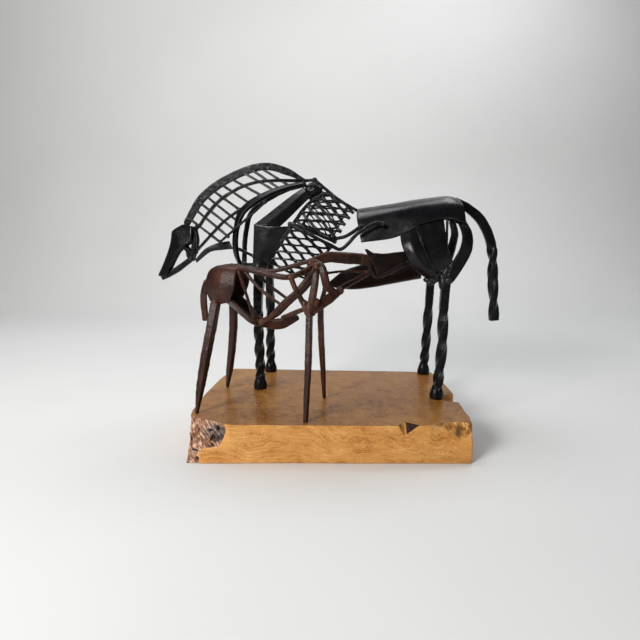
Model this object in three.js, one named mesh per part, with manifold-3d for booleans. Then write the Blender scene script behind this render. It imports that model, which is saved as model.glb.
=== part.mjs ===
// Mare and nursing foal of welded iron on a slab of burl wood. Millimetres, +Z up, slab underside at Z = 0.
// Each animal is laid out in its own group: x runs along its back, y to its far side, z up from the slab.
import * as THREE from "three";
import { mergeVertices } from "three/addons/utils/BufferGeometryUtils.js";
import Module from "manifold-3d";

const wasm = await Module();
wasm.setup();

// Driving sizes
const SLAB_THICK = 50; // height of the wooden base
const FIT_GAP = 0.35; // clearance left where two welded pieces meet
const PLATE = 3; // sheet iron of the bent plates
const LEG_BAR = 11.5; // square bar of the mare's legs
const HOOF = 17.5; // width of a mare's hoof
const LATTICE_BAR = 3.8; // flat bar of the neck lattice
const STRAND = 3.2; // width of an expanded metal strand
const MESH_THICK = 2.4; // thickness of the expanded metal
const KNUCKLE_TAPER = 0.35; // how far the withers knuckle draws in below
const MARE_AT = [41.5, 54.5, SLAB_THICK]; // between the mare's four hooves
const MARE_TURN = -6.5; // degrees about the vertical
const FOAL_AT = [-78, -44, SLAB_THICK]; // between the foal's four feet
const FOAL_TURN = -14.8;

const SIDE = [0, -1, 0]; // towards the near side
const UP = [0, 0, 1];
const SOLE = -3; // legs run this far down before their soles are cut level with the slab

const vec = (p) => new THREE.Vector3(p[0], p[1], p[2]);
const mirror = (points) => points.map(([x, y, z]) => [x, -y, z]);
const mix = THREE.MathUtils.lerp;
const line = (points) => new THREE.CatmullRomCurve3(points.map(vec), false, "centripetal");

// Value at t of a size given once, or once for each point of a line.
function sizeAt(size, t) {
  if (!Array.isArray(size)) return size;
  const x = t * (size.length - 1);
  const i = Math.min(Math.floor(x), size.length - 2);
  return mix(size[i], size[i + 1], x - i);
}

// Direction at t between a first and a last direction.
function facingAt(face, t) {
  if (!Array.isArray(face[0])) return vec(face);
  return vec(face[0]).lerp(vec(face[1]), t);
}

// Moves every vertex of a geometry by a function of its place.
function bend(geometry, place) {
  const position = geometry.attributes.position;
  const v = new THREE.Vector3();
  for (let i = 0; i < position.count; i++) {
    v.fromBufferAttribute(position, i);
    const to = place(v.x, v.y, v.z);
    position.setXYZ(i, to.x, to.y, to.z);
  }
  return geometry;
}

function regular(sides) {
  const turn = sides === 4 ? Math.PI / 4 : 0;
  const radius = sides === 4 ? Math.SQRT1_2 : 0.5;
  const corners = [];
  for (let i = 0; i < sides; i++) {
    const a = turn + (2 * Math.PI * i) / sides;
    corners.push(new THREE.Vector2(radius * Math.cos(a), radius * Math.sin(a)));
  }
  return new THREE.Shape(corners);
}

// A bar along a smooth line. width lies across the face direction and thick along it.
function bar(
  points, width, thick, { face = SIDE, steps = 6, sides = 4, twist = 0, from = 0, to = 1 } = {},
) {
  const path = line(points);
  const blank = new THREE.ExtrudeGeometry(regular(sides), { depth: 1, steps, bevelEnabled: false });
  return bend(blank, (x, y, z) => {
    const along = path.getTangent(z);
    const out = facingAt(face, z);
    out.addScaledVector(along, -out.dot(along)).normalize();
    const across = new THREE.Vector3().crossVectors(out, along);
    const turn = twist * 2 * Math.PI * THREE.MathUtils.clamp((z - from) / (to - from), 0, 1);
    const a = x * sizeAt(width, z);
    const b = y * sizeAt(thick, z);
    return path
      .getPoint(z)
      .addScaledVector(across, a * Math.cos(turn) - b * Math.sin(turn))
      .addScaledVector(out, a * Math.sin(turn) + b * Math.cos(turn));
  });
}

// A surface over lines that run side by side: smooth across them, or folded at each of them.
function surface(lines, folded = false) {
  const paths = lines.map(line);
  const point = (s, t) => {
    const row = paths.map((path) => path.getPoint(s));
    if (!folded && row.length > 2) return new THREE.CatmullRomCurve3(row).getPoint(t);
    const x = t * (row.length - 1);
    const i = Math.min(Math.floor(x), row.length - 2);
    return row[i].clone().lerp(row[i + 1], x - i);
  };
  const slope = (s, t, ds, dt) => {
    const a = point(Math.max(s - ds, 0), Math.max(t - dt, 0));
    return point(Math.min(s + ds, 1), Math.min(t + dt, 1)).sub(a);
  };
  return (s, t, lift) => {
    const normal = slope(s, t, 0.02, 0).cross(slope(s, t, 0, 0.02)).normalize();
    return point(s, t).addScaledVector(normal, lift);
  };
}

// A bent plate over lines that run along it.
function plate(lines, { thick = PLATE, along = 6, across = 2, folded = false } = {}) {
  const at = surface(lines, folded);
  const blank = new THREE.BoxGeometry(1, 1, 1, along, across, 1);
  return bend(blank, (x, y, z) => at(x + 0.5, y + 0.5, z * thick));
}

// A bent panel of expanded metal: staggered diamonds, each pierced, with halves along the panel's edges.
function meshPanel(lines, cellsAlong, cellsAcross) {
  const at = surface(lines);
  const columns = 2 * cellsAlong;
  const rows = 2 * cellsAcross;
  const height = at(0.5, 0, 0).distanceTo(at(0.5, 0.5, 0)) + at(0.5, 0.5, 0).distanceTo(at(0.5, 1, 0));
  const open = 1 - (STRAND * cellsAcross) / height;
  const corners = [];
  const put = ([i, j], side) => corners.push(at(i / columns, j / rows, (side * MESH_THICK) / 2));
  const quad = (points, sides) => [0, 1, 2, 0, 2, 3].forEach((k) => put(points[k], sides[k]));
  const onEdge = ([i, j], [k, l]) =>
    (i === k && (i === 0 || i === columns)) || (j === l && (j === 0 || j === rows));
  for (let i = 0; i <= columns; i++) {
    for (let j = i % 2; j <= rows; j += 2) {
      const around = [[i + 1, j], [i, j + 1], [i - 1, j], [i, j - 1]];
      const cell = around.filter(([k, l]) => k >= 0 && k <= columns && l >= 0 && l <= rows);
      if (cell.length === 2) {
        const [a, b] = cell;
        const turned = (a[0] - i) * (b[1] - j) > (a[1] - j) * (b[0] - i);
        const corner = turned ? [[i, j], a, b] : [[i, j], b, a];
        corner.forEach((q) => put(q, 1));
        [...corner].reverse().forEach((q) => put(q, -1));
        quad([corner[1], corner[0], corner[0], corner[1]], [1, 1, -1, -1]);
        quad([corner[0], corner[2], corner[2], corner[0]], [1, 1, -1, -1]);
        continue;
      }
      const middle = [0, 1].map((axis) => cell.reduce((sum, q) => sum + q[axis], 0) / cell.length);
      const hole = cell.map(([k, l]) => [mix(middle[0], k, open), mix(middle[1], l, open)]);
      cell.forEach((q, k) => {
        const n = (k + 1) % cell.length;
        quad([q, cell[n], hole[n], hole[k]], [1, 1, 1, 1]);
        quad([cell[n], q, hole[k], hole[n]], [-1, -1, -1, -1]);
        quad([hole[k], hole[n], hole[n], hole[k]], [1, 1, -1, -1]);
        if (onEdge(q, cell[n])) quad([cell[n], q, q, cell[n]], [1, 1, -1, -1]);
      });
    }
  }
  return new THREE.BufferGeometry().setFromPoints(corners);
}

// A rounded knuckle of forged iron, drawn in to a blunt point below.
function knuckle(at, radii) {
  const ball = new THREE.SphereGeometry(1, 9, 6);
  return bend(ball, (x, y, z) => {
    const drawn = 1 - KNUCKLE_TAPER * Math.max(-y, 0);
    return new THREE.Vector3(
      at[0] + radii[0] * x * drawn, at[1] - radii[1] * z * drawn, at[2] + radii[2] * y * (2 - drawn),
    );
  });
}

// A leg of the mare: plain above, twisted below, swelling to a hoof.
function mareLeg(points, topWidth, turns) {
  const width = [topWidth, LEG_BAR + 1, LEG_BAR, LEG_BAR, LEG_BAR, LEG_BAR - 0.5, LEG_BAR];
  const shank = bar(points, width, width, { steps: 17, twist: turns, from: 0.3, to: 0.9 });
  const [x, y] = points[points.length - 1];
  const rings = [[LEG_BAR * 0.55, 16], [HOOF * 0.46, 11], [HOOF * 0.53, 6], [HOOF * 0.5, SOLE]];
  const profile = [[0, 16], ...rings, [0, SOLE]].map(([r, h]) => new THREE.Vector2(r, h)).reverse();
  const hoof = bend(
    new THREE.LatheGeometry(profile, 8), (a, h, b) => new THREE.Vector3(x + a * 1.08, y - b, h),
  );
  return weld(shank, hoof);
}

// A leg of the foal: a hammered square taper.
function foalLeg(points, top, foot) {
  const width = [top, top, top * 0.97, top * 0.85, foot];
  return bar(points, width, width, { steps: 8, twist: 0.06 });
}

// Solids
function solidOf(geometry) {
  const bare = new THREE.BufferGeometry();
  bare.setAttribute("position", geometry.attributes.position);
  if (geometry.index) bare.setIndex(geometry.index);
  const joined = mergeVertices(bare, 1e-3);
  const mesh = new wasm.Mesh({
    numProp: 3,
    vertProperties: joined.attributes.position.array,
    triVerts: new Uint32Array(joined.index.array),
  });
  return new wasm.Manifold(mesh);
}

function geometryOf(solid) {
  const mesh = solid.getMesh();
  const geometry = new THREE.BufferGeometry();
  geometry.setAttribute("position", new THREE.BufferAttribute(new Float32Array(mesh.vertProperties), 3));
  geometry.setIndex(new THREE.BufferAttribute(new Uint32Array(mesh.triVerts), 1));
  return geometry;
}

const weld = (...geometries) => geometryOf(geometries.map(solidOf).reduce((a, b) => a.add(b)));

// The same solid with every face moved out by the fitting clearance.
function swollen(geometry) {
  const grown = geometryOf(solidOf(geometry));
  const position = grown.attributes.position;
  const index = grown.index;
  const normals = Array.from({ length: position.count }, () => []);
  const triangle = new THREE.Triangle();
  for (let i = 0; i < index.count; i += 3) {
    const corners = [index.getX(i), index.getX(i + 1), index.getX(i + 2)];
    triangle.setFromAttributeAndIndices(position, ...corners);
    const normal = triangle.getNormal(new THREE.Vector3());
    corners.forEach((k) => normals[k].push(normal));
  }
  normals.forEach((around, k) => {
    const out = around.reduce((sum, n) => sum.add(n), new THREE.Vector3()).normalize();
    const least = Math.max(0.4, Math.min(...around.map((n) => n.dot(out))));
    const moved = new THREE.Vector3().fromBufferAttribute(position, k).addScaledVector(out, FIT_GAP / least);
    position.setXYZ(k, moved.x, moved.y, moved.z);
  });
  return grown;
}

// Fits the pieces of one animal: each is cut clear of those named before it.
function fitted(pieces, material) {
  const group = new THREE.Group();
  const ground = new THREE.BoxGeometry(900, 900, 20).translate(0, 0, FIT_GAP - 10);
  ground.computeBoundingBox();
  const before = [{ box: ground.boundingBox, grown: solidOf(ground) }];
  for (const [name, geometry] of pieces) {
    geometry.computeBoundingBox();
    const box = geometry.boundingBox.clone().expandByScalar(1);
    let solid = solidOf(geometry);
    for (const other of before) if (other.box.intersectsBox(box)) solid = solid.subtract(other.grown);
    const bodies = solid.decompose().sort((a, b) => b.volume() - a.volume());
    before.push({ box, grown: solidOf(swollen(geometry)) });
    const mesh = new THREE.Mesh(geometryOf(bodies[0]), material());
    mesh.name = name;
    group.add(mesh);
  }
  return group;
}

const blackIron = () => new THREE.MeshStandardMaterial(
  { color: 0x26262a, roughness: 0.45, metalness: 0.75 },
);
const rustIron = () => new THREE.MeshStandardMaterial({ color: 0x5b3a2e, roughness: 0.6, metalness: 0.45 });
const burlWood = () => new THREE.MeshStandardMaterial({ color: 0xb98a52, roughness: 0.55, metalness: 0 });

// Mare: head and neck
const CREST = [
  [-248, 0, 243], [-219, 0, 283], [-177, 0, 310], [-125, 0, 326], [-90, 0, 318], [-66, 0, 306],
];
const THROAT_LINE = [[-194, -8, 217], [-164, -22, 234], [-156, -20, 263], [-126, -16, 284], [-87, -6, 298]];
const FACE_RIDGE = [
  [-252, 0, 242], [-268.5, 0, 233], [-270.5, 0, 230], [-272, 0, 221], [-276, 0, 207], [-287, 0, 182],
  [-297, 0, 163],
];
const FACE_EDGE = [
  [-236, -10, 239], [-235, -12, 231], [-238, -13, 217], [-250, -12, 210], [-262, -10, 200], [-278, -7, 171],
  [-281, -6, 162],
];

const RUNG_TOPS = [0.04, 0.108, 0.158, 0.216, 0.269, 0.333, 0.401, 0.477, 0.522, 0.572]; // along the crest
const RUNG_FEET = [0, 0.125, 0.245, 0.358, 0.493, 0.61, 0.748, 0.867, 0.916, 1]; // along the throat line
const UPPER_BAR = [0.33, 0.31, 0.31, 0.34, 0.4, 0.44, 0.46, 0.54, 0.61, 0.73]; // its height on each rung
const LOWER_BAR = [0.72, 0.69, 0.69, 0.79, 0.98];

function neckLattice() {
  const crest = line(CREST);
  const throat = line(THROAT_LINE);
  const rungs = RUNG_TOPS.map((t, k) => [crest.getPoint(t), throat.getPoint(RUNG_FEET[k])]);
  const onRung = (k, f) => rungs[k][0].clone().lerp(rungs[k][1], f).toArray();
  const bars = rungs.map(
    (ends) => bar(ends.map((p) => p.toArray()), LATTICE_BAR, LATTICE_BAR, { steps: 1 }),
  );
  const upper = [[-231, -1, 238], ...UPPER_BAR.map((f, k) => onRung(k, f)), [-66, 0, 305], [-50, 0, 306]];
  const lower = [[-234, -2, 201], ...LOWER_BAR.map((f, k) => onRung(k, f))];
  bars.push(bar(upper, LATTICE_BAR + 0.8, LATTICE_BAR + 2.2, { steps: 8 }));
  bars.push(bar(lower, LATTICE_BAR + 0.2, LATTICE_BAR + 2.2, { steps: 4 }));
  return weld(...bars);
}

function cheek(side) {
  const outer = [
    [-236, 5 * side, 235], [-234, 5.5 * side, 219], [-237, 5 * side, 204], [-241, 4 * side, 191],
  ];
  const inner = [
    [-252, 7 * side, 210], [-246, 6 * side, 202], [-245, 5 * side, 194], [-240, 5 * side, 191],
  ];
  return weld(bar(outer, 7, 5.5, { steps: 3 }), bar(inner, 5, 4, { steps: 2 }));
}

// Mare: chest and shoulder
const HOOP = [
  [-66, -5, 300], [-93, -12, 294], [-120, -20, 283], [-142, -24, 270], [-155, -26, 256],
  [-161, -28, 236], [-164, -27, 217], [-164, -22, 198], [-162, -12, 183],
];
const BLADE_TOP = [[-64, -8, 295], [-81, -16, 283], [-108, -28, 261], [-131, -39, 242]];
const BLADE_CREASE = [[-60, -16, 288], [-75, -24, 274], [-96, -35, 255], [-114, -44, 240]];
const BLADE_LOW = [[-56, -14, 279], [-70, -24, 264], [-83, -33, 250], [-94, -41, 239]];

// Mare: barrel
const SPINE = [[-48, 0, 305], [-36, 0, 295], [-20, 0, 282], [-2, 0, 270], [15, 0, 261]];
const MESH_TOP = [[-35, -4, 288], [-15, -6, 279], [11, -8, 262]];
const MESH_BULGE = [[-57, -32, 268], [-29, -35, 257], [-2, -35, 241]];
const MESH_WAIST = [[-74, -45, 243], [-45, -47, 230], [-15, -46, 217]];
const MESH_FLANK = [[-93, -47, 215], [-66, -49, 203], [-40, -48, 190]];
const MESH_BELLY = [[-111, -40, 190], [-87, -40, 177], [-60, -38, 166]];
const BACK_EDGE = [
  [21, -46, 217], [70, -48, 225], [96, -48, 240], [120, -46, 247], [140, -44, 250], [164, -30, 243],
];
const BACK_FOLD = [
  [14, -33, 249], [62, -35, 258], [92, -35, 264], [116, -34, 267], [140, -30, 270], [161, -20, 266],
];
const BACK_RIDGE = [[13, 0, 263], [62, 0, 270], [92, 0, 275], [116, 0, 278], [144, 0, 280], [158, 0, 275]];
const BELLY_SIDE = [[-27, -22, 157], [-5, -33, 176], [21, -37, 186], [60, -39, 201], [102, -42, 206]];
const BELLY_KEEL = [[-29, -16, 153], [6, -14, 149], [36, -12, 152], [66, -12, 158], [108, -14, 167]];
const BELLY_FAR = [[-27, -12, 155], [-2, 10, 164], [20, 22, 172], [60, 28, 177], [106, 43, 178]];

// Mare: haunch
const HAUNCH_FRONT = [[74, -48, 227], [76, -58, 214], [83, -63, 198], [92, -62, 184], [110, -54, 170]];
const HAUNCH_CROWN = [[84, -51, 234], [89, -63, 217], [97, -68, 200], [107, -65, 183], [117, -55, 171]];
const HAUNCH_SEAM = [[94, -49, 240], [100, -58, 222], [109, -62, 201], [117, -60, 185], [123, -54, 174]];
const HAUNCH_INNER = [[97, -42, 243], [102, -53, 222], [111, -57, 201], [119, -55, 186], [124, -50, 175]];
const HAUNCH_REAR = [[132, -39, 252], [135, -49, 227], [138, -53, 210], [143, -52, 199], [146, -50, 191]];
const RUMP_HOOP = [
  [159, -20, 247], [166, -32, 228], [164, -41, 209], [155, -46, 191], [146, -48, 176], [140, -49, 166],
];
const RUMP_HOOP_FAR = [
  [152, 14, 246], [158, 25, 229], [157, 33, 213], [155, 39, 198], [148, 44, 178], [138, 48, 160],
];
const TAIL = [
  [155, 0, 274], [170, 0, 265], [186, 0, 252], [197, 0, 236], [205, 0, 217],
  [209, 0, 197], [211, 0, 170], [214, 0, 136], [217, 0, 103],
];

// Mare: legs, from the body down
const HIND_NEAR = [
  [141, -40, 184], [138.5, -46, 168], [136, -52, 117], [136, -55, 76], [133, -58, 35], [132, -59, 14],
  [131, -59, SOLE],
];
const HIND_FAR = [
  [131, 45, 196], [128, 47, 152], [127, 51, 108], [126, 54, 66], [125, 57, 34], [124, 59, 14],
  [124, 59, SOLE],
];
const FORE_NEAR = [
  [-124, -38, 182], [-128, -40, 140], [-129, -40, 112], [-128, -42, 74], [-127, -43, 38],
  [-127, -44, 14], [-127, -44, SOLE],
];
const FORE_FAR = [
  [-116, 37, 236], [-127, 38, 180], [-128, 40, 122], [-129, 42, 74], [-130, 43, 38], [-130, 44, 14],
  [-130, 44, SOLE],
];

const shorter = (points) => [points[0], points[1], vec(points[1]).lerp(vec(points[2]), 0.6).toArray()];
const bladeHalf = BLADE_TOP.map((p, i) => vec(p).lerp(vec(BLADE_CREASE[i]), 0.9).toArray());
const marePieces = [
  ["mare_crest_band", bar(CREST, [10, 12.5, 12, 10.5, 10.5, 5], 5, { steps: 13 })],
  ["mare_face_plate", plate([FACE_EDGE, FACE_RIDGE, mirror(FACE_EDGE)], { along: 6, across: 4 })],
  ["mare_withers_knuckle", knuckle([-51, -3, 290], [14, 9.5, 13])],
  [
    "mare_back_plate",
    plate(
      [BACK_EDGE, BACK_FOLD, BACK_RIDGE, mirror(BACK_FOLD), mirror(BACK_EDGE)],
      { along: 7, across: 8 },
    ),
  ],
  ["mare_leg_hind_left", mareLeg(HIND_NEAR, 16, 0.95)],
  ["mare_leg_hind_right", mareLeg(HIND_FAR, 13, 0.95)],
  ["mare_haunch_front_left", plate([HAUNCH_FRONT, HAUNCH_CROWN, HAUNCH_SEAM], { along: 7, across: 4 })],
  ["mare_haunch_rear_left", plate([HAUNCH_INNER, HAUNCH_REAR], { along: 5, across: 2 })],
  [
    "mare_haunch_right",
    plate([mirror(HAUNCH_INNER), mirror(HAUNCH_REAR)].reverse(), { along: 4, across: 2 }),
  ],
  ["mare_shoulder_plate_left", plate([
    [[-132, -39, 243], [-134, -38, 213], [-136, -36, 184]],
    [[-102, -44, 239], [-116, -42, 213], [-125, -38, 184]],
    [[-75, -42, 240], [-97, -41, 210], [-113, -37, 184]],
  ], { along: 4, across: 4 })],
  ["mare_leg_fore_left", mareLeg(FORE_NEAR, 17, 1.3)],
  ["mare_leg_fore_right", mareLeg(FORE_FAR, 12, 1.2)],
  [
    "mare_shoulder_blade_left",
    plate([BLADE_TOP, BLADE_CREASE, BLADE_LOW], { along: 5, across: 4, folded: true }),
  ],
  ["mare_shoulder_blade_right", plate([mirror(bladeHalf), mirror(BLADE_TOP)], { along: 5, across: 1 })],
  [
    "mare_chest_hoop_left",
    bar(
      HOOP, [7, 9, 11, 12, 12, 9, 9, 9, 9], 5.5,
      { face: [[0, -0.6, 0.8], [-0.7, -0.7, 0]], steps: 14 },
    ),
  ],
  [
    "mare_chest_hoop_right",
    bar(
      mirror(HOOP), [7, 7, 7, 7, 7, 7, 7, 7, 7], 5.5,
      { face: [[0, 0.6, 0.8], [-0.7, 0.7, 0]], steps: 12 },
    ),
  ],
  [
    "mare_rump_hoop_left",
    bar(
      RUMP_HOOP, [12, 15, 17, 17, 17, 15], 5,
      { face: [[0.4, -0.75, 0.4], [0.3, -0.95, -0.1]], steps: 9 },
    ),
  ],
  [
    "mare_rump_hoop_right",
    bar(
      RUMP_HOOP_FAR, [10, 11, 12, 12, 12, 11], 5,
      { face: [[0.6, 0.5, 0.4], [0.5, 0.8, -0.2]], steps: 9 },
    ),
  ],
  [
    "mare_tail",
    bar(
      TAIL, [10, 12, 13, 13, 13, 13.5, 14, 14, 14], [6, 7, 8, 9, 10, 10, 10, 10, 10],
      { steps: 14, twist: 1, from: 0.52, to: 0.99 },
    ),
  ],
  ["mare_belly_plate", plate([BELLY_SIDE, BELLY_KEEL, BELLY_FAR], { along: 6, across: 4 })],
  [
    "mare_jaw_bar",
    bar([[-292, 0, 161], [-267, 0, 173], [-240, 0, 192]], [10, 9, 8], [9, 8, 8], { steps: 3 }),
  ],
  ["mare_cheek_left", cheek(-1)],
  ["mare_cheek_right", cheek(1)],
  ["mare_throat_plate", plate([
    [[-236, -1, 189], [-220, -2, 205], [-200, -4, 214], [-178, -10, 218]],
    [[-234, -1, 184], [-210, -3, 201], [-192, -7, 204], [-171, -15, 206]],
  ], { along: 6, across: 1 })],
  ["mare_neck_lattice", neckLattice()],
  [
    "mare_throat_rod",
    bar(
      [[-190, -16, 217], [-166, -34, 232], [-144, -34, 250], [-118, -28, 273]], 3.6, 3.6,
      { sides: 6, steps: 5 },
    ),
  ],
  [
    "mare_breast_bar",
    bar([[-165, -6, 181], [-150, -22, 183], [-134, -33, 184]], 7, 6, { face: UP, steps: 3 }),
  ],
  ["mare_chest_strut", bar([[-158, -25, 206], [-134, -38, 197]], 4, 4, { steps: 1 })],
  ["mare_spine_rod", bar(SPINE, 4.6, 4.6, { steps: 6 })],
  [
    "mare_side_rod_left",
    bar(
      [
        [-78, -48, 242], [-50, -52, 228], [-22, -53, 214], [-9, -53, 208], [-3, -53, 210],
        [18, -53, 231], [42, -53, 244], [50, -52, 242],
      ],
      5, 5, { sides: 5, steps: 12 },
    ),
  ],
  [
    "mare_side_rod_right",
    bar([[-74, 48, 242], [-50, 52, 228], [-24, 52, 216]], 5, 5, { sides: 6, steps: 3 }),
  ],
  ["mare_link_bar", bar([[-16, -42, 222], [0, -45, 226], [19, -46, 238]], 5, 4, { steps: 3 })],
  ["mare_rib_mesh_upper_left", meshPanel([MESH_TOP, MESH_BULGE, MESH_WAIST], 3, 4)],
  [
    "mare_rib_mesh_lower_left",
    meshPanel([MESH_WAIST.map(([x, y, z]) => [x - 3, y, z - 4]), MESH_FLANK, MESH_BELLY], 3, 4),
  ],
  ["mare_rib_mesh_right", meshPanel([MESH_WAIST, MESH_BULGE, MESH_TOP].map(mirror).map(shorter), 2, 4)],
  ["mare_rump_rod", bar([[137, -40, 252], [137, -44, 214]], 3.6, 3.6, { sides: 6, steps: 1 })],
];

// Foal: rump to head
const RUMP_SIDE = [[-24, -5, 188], [-24, -18, 183], [-26, -24, 163], [-34, -20, 143]];
const RUMP_CORNER = [[-42, -5, 190], [-44, -18, 184], [-47, -24, 164], [-54, -20, 138]];
const RUMP_REAR = [[-60, 0, 187], [-70, -3, 180], [-76, -3, 160], [-70, -3, 140]];
const BAND_EDGE = [
  [-42, -15, 151], [-32, -17, 144], [-20, -16, 134], [-8, -11, 122], [6, -8, 118], [28, -8, 120],
  [50, -2, 126],
];
const BAND_KEEL = [
  [-48, 0, 140], [-39, 0, 134], [-28, 0, 124], [-11, 0, 112], [6, 0, 109], [28, 0, 108], [53, 0, 122],
];
const NECK = [[66, 10, 193], [84, 26, 199.5], [104, 42, 198], [124, 56, 196], [136, 64, 193]];

function foalHead() {
  const brow = [[131, 61, 203], [140, 65, 204], [152, 72, 203], [168, 80, 205], [182, 87, 206]];
  const jaw = [[143, 63, 171], [152, 67, 174], [166, 74, 181], [175, 80, 187], [183, 86, 194]];
  const skull = plate([jaw, brow], { thick: 9, along: 4, across: 1 });
  const ear = (dy) => bar(
    [[139, 66 + dy, 198], [133, 64 + dy, 203], [128, 62 + dy, 209]], [8, 5.5, 1.5], [5, 4, 1.5],
    { steps: 2 },
  );
  return weld(skull, ear(-4), ear(5));
}

function sideBars(side) {
  const y = (d) => d * side;
  const near = side < 0;
  const bars = [
    bar([[48, y(18), 177], [55, y(20), 162], [68, y(19), 139]], 6.6, 6, { steps: 3 }),
    bar(
      [
        [78, y(7), 190], [65, y(17), 170], [50, y(19), 154], [35, y(18), 141], [18, y(13), 124],
        [5, y(9), 117],
      ],
      6.8, 6, { steps: 7 },
    ),
    bar([[-18, y(13), 185], [7, y(18), 161], [36, y(18), 141]], 4, 3.6, { steps: 3 }),
  ];
  return weld(...(near ? bars : bars.slice(1)));
}

const foalPieces = [
  [
    "foal_rump_shell",
    plate(
      [RUMP_SIDE, RUMP_CORNER, RUMP_REAR, mirror(RUMP_CORNER), mirror(RUMP_SIDE)],
      { along: 5, across: 4, folded: true },
    ),
  ],
  ["foal_neck_bar", bar(NECK, [11, 14, 15, 14.5, 13], [10, 12, 12.5, 12, 11], { steps: 8 })],
  ["foal_head", foalHead()],
  [
    "foal_leg_hind_right",
    foalLeg(
      [[-54, -21, 141], [-57, -29, 112], [-62, -38, 75], [-67, -46, 36], [-71, -53, SOLE]], 11, 3.5,
    ),
  ],
  [
    "foal_leg_hind_left",
    foalLeg([[-47, 18, 142], [-53, 28, 104], [-61, 38, 68], [-70, 46, 32], [-78, 53, SOLE]], 9.5, 3.5),
  ],
  [
    "foal_leg_fore_right",
    foalLeg([[72, -18, 138], [73, -25, 104], [74, -32, 70], [74, -39, 35], [74, -45, SOLE]], 7.5, 5),
  ],
  [
    "foal_leg_fore_left",
    foalLeg([[77, 18, 142], [75, 26, 106], [75, 32, 72], [75, 39, 36], [75, 45, SOLE]], 7, 3.5),
  ],
  [
    "foal_breast_bar",
    bar([[104, 11, 158], [92, 2, 149], [74, -15, 135]], [9, 13, 11], [9, 11, 10], { steps: 5 }),
  ],
  [
    "foal_back_bar_right",
    bar(
      [
        [-24, -13, 186], [-14, -15, 186], [7, -18, 182], [31, -19, 178], [45, -18, 177],
        [62, -12, 183], [72, -2, 190],
      ],
      [8, 7.5, 7.5, 7.5, 8, 7.5, 7.5], 7, { face: UP, steps: 12 },
    ),
  ],
  [
    "foal_back_bar_left",
    bar(
      [[-23, 12, 185], [6, 14, 181], [27, 14, 184], [45, 13, 190], [66, 11, 196]], 5.5, 5.5,
      { face: UP, steps: 8 },
    ),
  ],
  [
    "foal_shoulder_bow",
    bar(
      [[73, 3, 195], [84, -5, 189], [89, -8, 176], [91, -5, 165], [98, 4, 157]], [8.5, 9.5, 10, 9.5, 8.5],
      7.5, { steps: 8 },
    ),
  ],
  [
    "foal_shoulder_bar_right",
    bar([[77, -5, 191], [78, -14, 170], [76, -17, 154], [73, -18, 139]], 9.2, 7.5, { steps: 6 }),
  ],
  [
    "foal_shoulder_bar_left",
    bar([[74, 20, 194], [80, 30, 174], [79, 26, 152], [77, 20, 142]], 6, 5, { steps: 5 }),
  ],
  ["foal_side_bars_right", sideBars(-1)],
  ["foal_side_bars_left", sideBars(1)],
  [
    "foal_throat_bar",
    bar([[101, 13, 159], [113, 32, 166], [124, 48, 172], [136, 61, 180]], 6.5, 5.5, { steps: 5 }),
  ],
  ["foal_neck_rod", bar([[86, 16, 180], [105, 36, 181], [130, 55, 179]], 3.2, 3.2, { sides: 6, steps: 4 })],
  ["foal_tail", bar([[-76, -2, 168], [-81, -2, 148], [-80, -2, 113]], [6.5, 9, 8], [4, 4, 4], { steps: 4 })],
  ["foal_flank_rib", bar([[-22, -17, 182], [-13, -17, 155], [-6, -11, 123]], 3.8, 3.6, { steps: 3 })],
  ["foal_belly_band", plate([BAND_EDGE, BAND_KEEL, mirror(BAND_EDGE)], { along: 8, across: 2 })],
  ["foal_belly_bar", bar([[34, -9, 124], [66, -17, 138]], 6, 6, { steps: 1 })],
];

// Base: outline corners as [x, y at the underside, how far the top edge is set back in x and in y]
const SLAB_CORNERS = [
  [-167, -116, 0, 34], [-150, -117, 1, 19], [-132, -117, 1, 12], [-112, -117, 0, 3], [-40, -116, 0, 0],
  [40, -117, 0, 0], [92, -117, 0, 0], [134, -117, 0, 1], [150, -117, 0, 8], [172, -117, 0, 9],
  [188, -117, -2, 5], [192, -100, -1, 0], [191, -70, 0, 0], [192, -36, 0, 0], [173, -30, 0, 0],
  [175, -6, 0, 0], [194, -4, 0, 0], [194, 40, -1, 0], [191, 80, -1, 0], [186, 107, 0, 0],
  [110, 112, 0, 0], [20, 117, 0, 0], [-70, 123, 0, 0], [-148, 128, 0, 0], [-160, 70, 0, 0],
  [-168, 0, 1, 0], [-171, -65, 2, 0],
];

function slab() {
  const outline = new THREE.Shape(SLAB_CORNERS.map(([x, y]) => new THREE.Vector2(x, y)));
  const blank = new THREE.ExtrudeGeometry(outline, { depth: SLAB_THICK, steps: 4, bevelEnabled: false });
  const block = bend(blank, (x, y, z) => {
    const corner = SLAB_CORNERS.find((c) => Math.abs(c[0] - x) < 0.01 && Math.abs(c[1] - y) < 0.01);
    const high = x < 0 ? z / SLAB_THICK : Math.max(0, z / SLAB_THICK - 0.5) * 2;
    return new THREE.Vector3(x + corner[2] * high, y + corner[3] * high, z);
  });
  const cleft = new THREE.Shape(
    [new THREE.Vector2(95, -119), new THREE.Vector2(126, -119), new THREE.Vector2(106, -104)],
  );
  const wedge = new THREE.ExtrudeGeometry(cleft, { depth: 20, bevelEnabled: false });
  const taper = bend(wedge, (x, y, z) => {
    const deep = 1 - z / 20;
    return new THREE.Vector3(mix(x, 101, deep * 0.9), mix(y, -118.5, deep * 0.6), z + 34);
  });
  return geometryOf(solidOf(block).subtract(solidOf(taper)));
}

const object = new THREE.Group();
const mare = fitted(marePieces, blackIron);
mare.position.set(...MARE_AT);
mare.rotation.z = THREE.MathUtils.degToRad(MARE_TURN);
const foal = fitted(foalPieces, rustIron);
foal.position.set(...FOAL_AT);
foal.rotation.z = THREE.MathUtils.degToRad(FOAL_TURN);
const base = new THREE.Mesh(slab(), burlWood());
base.name = "base_slab";
object.add(base, mare, foal);

export default object;
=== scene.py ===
import math

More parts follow.
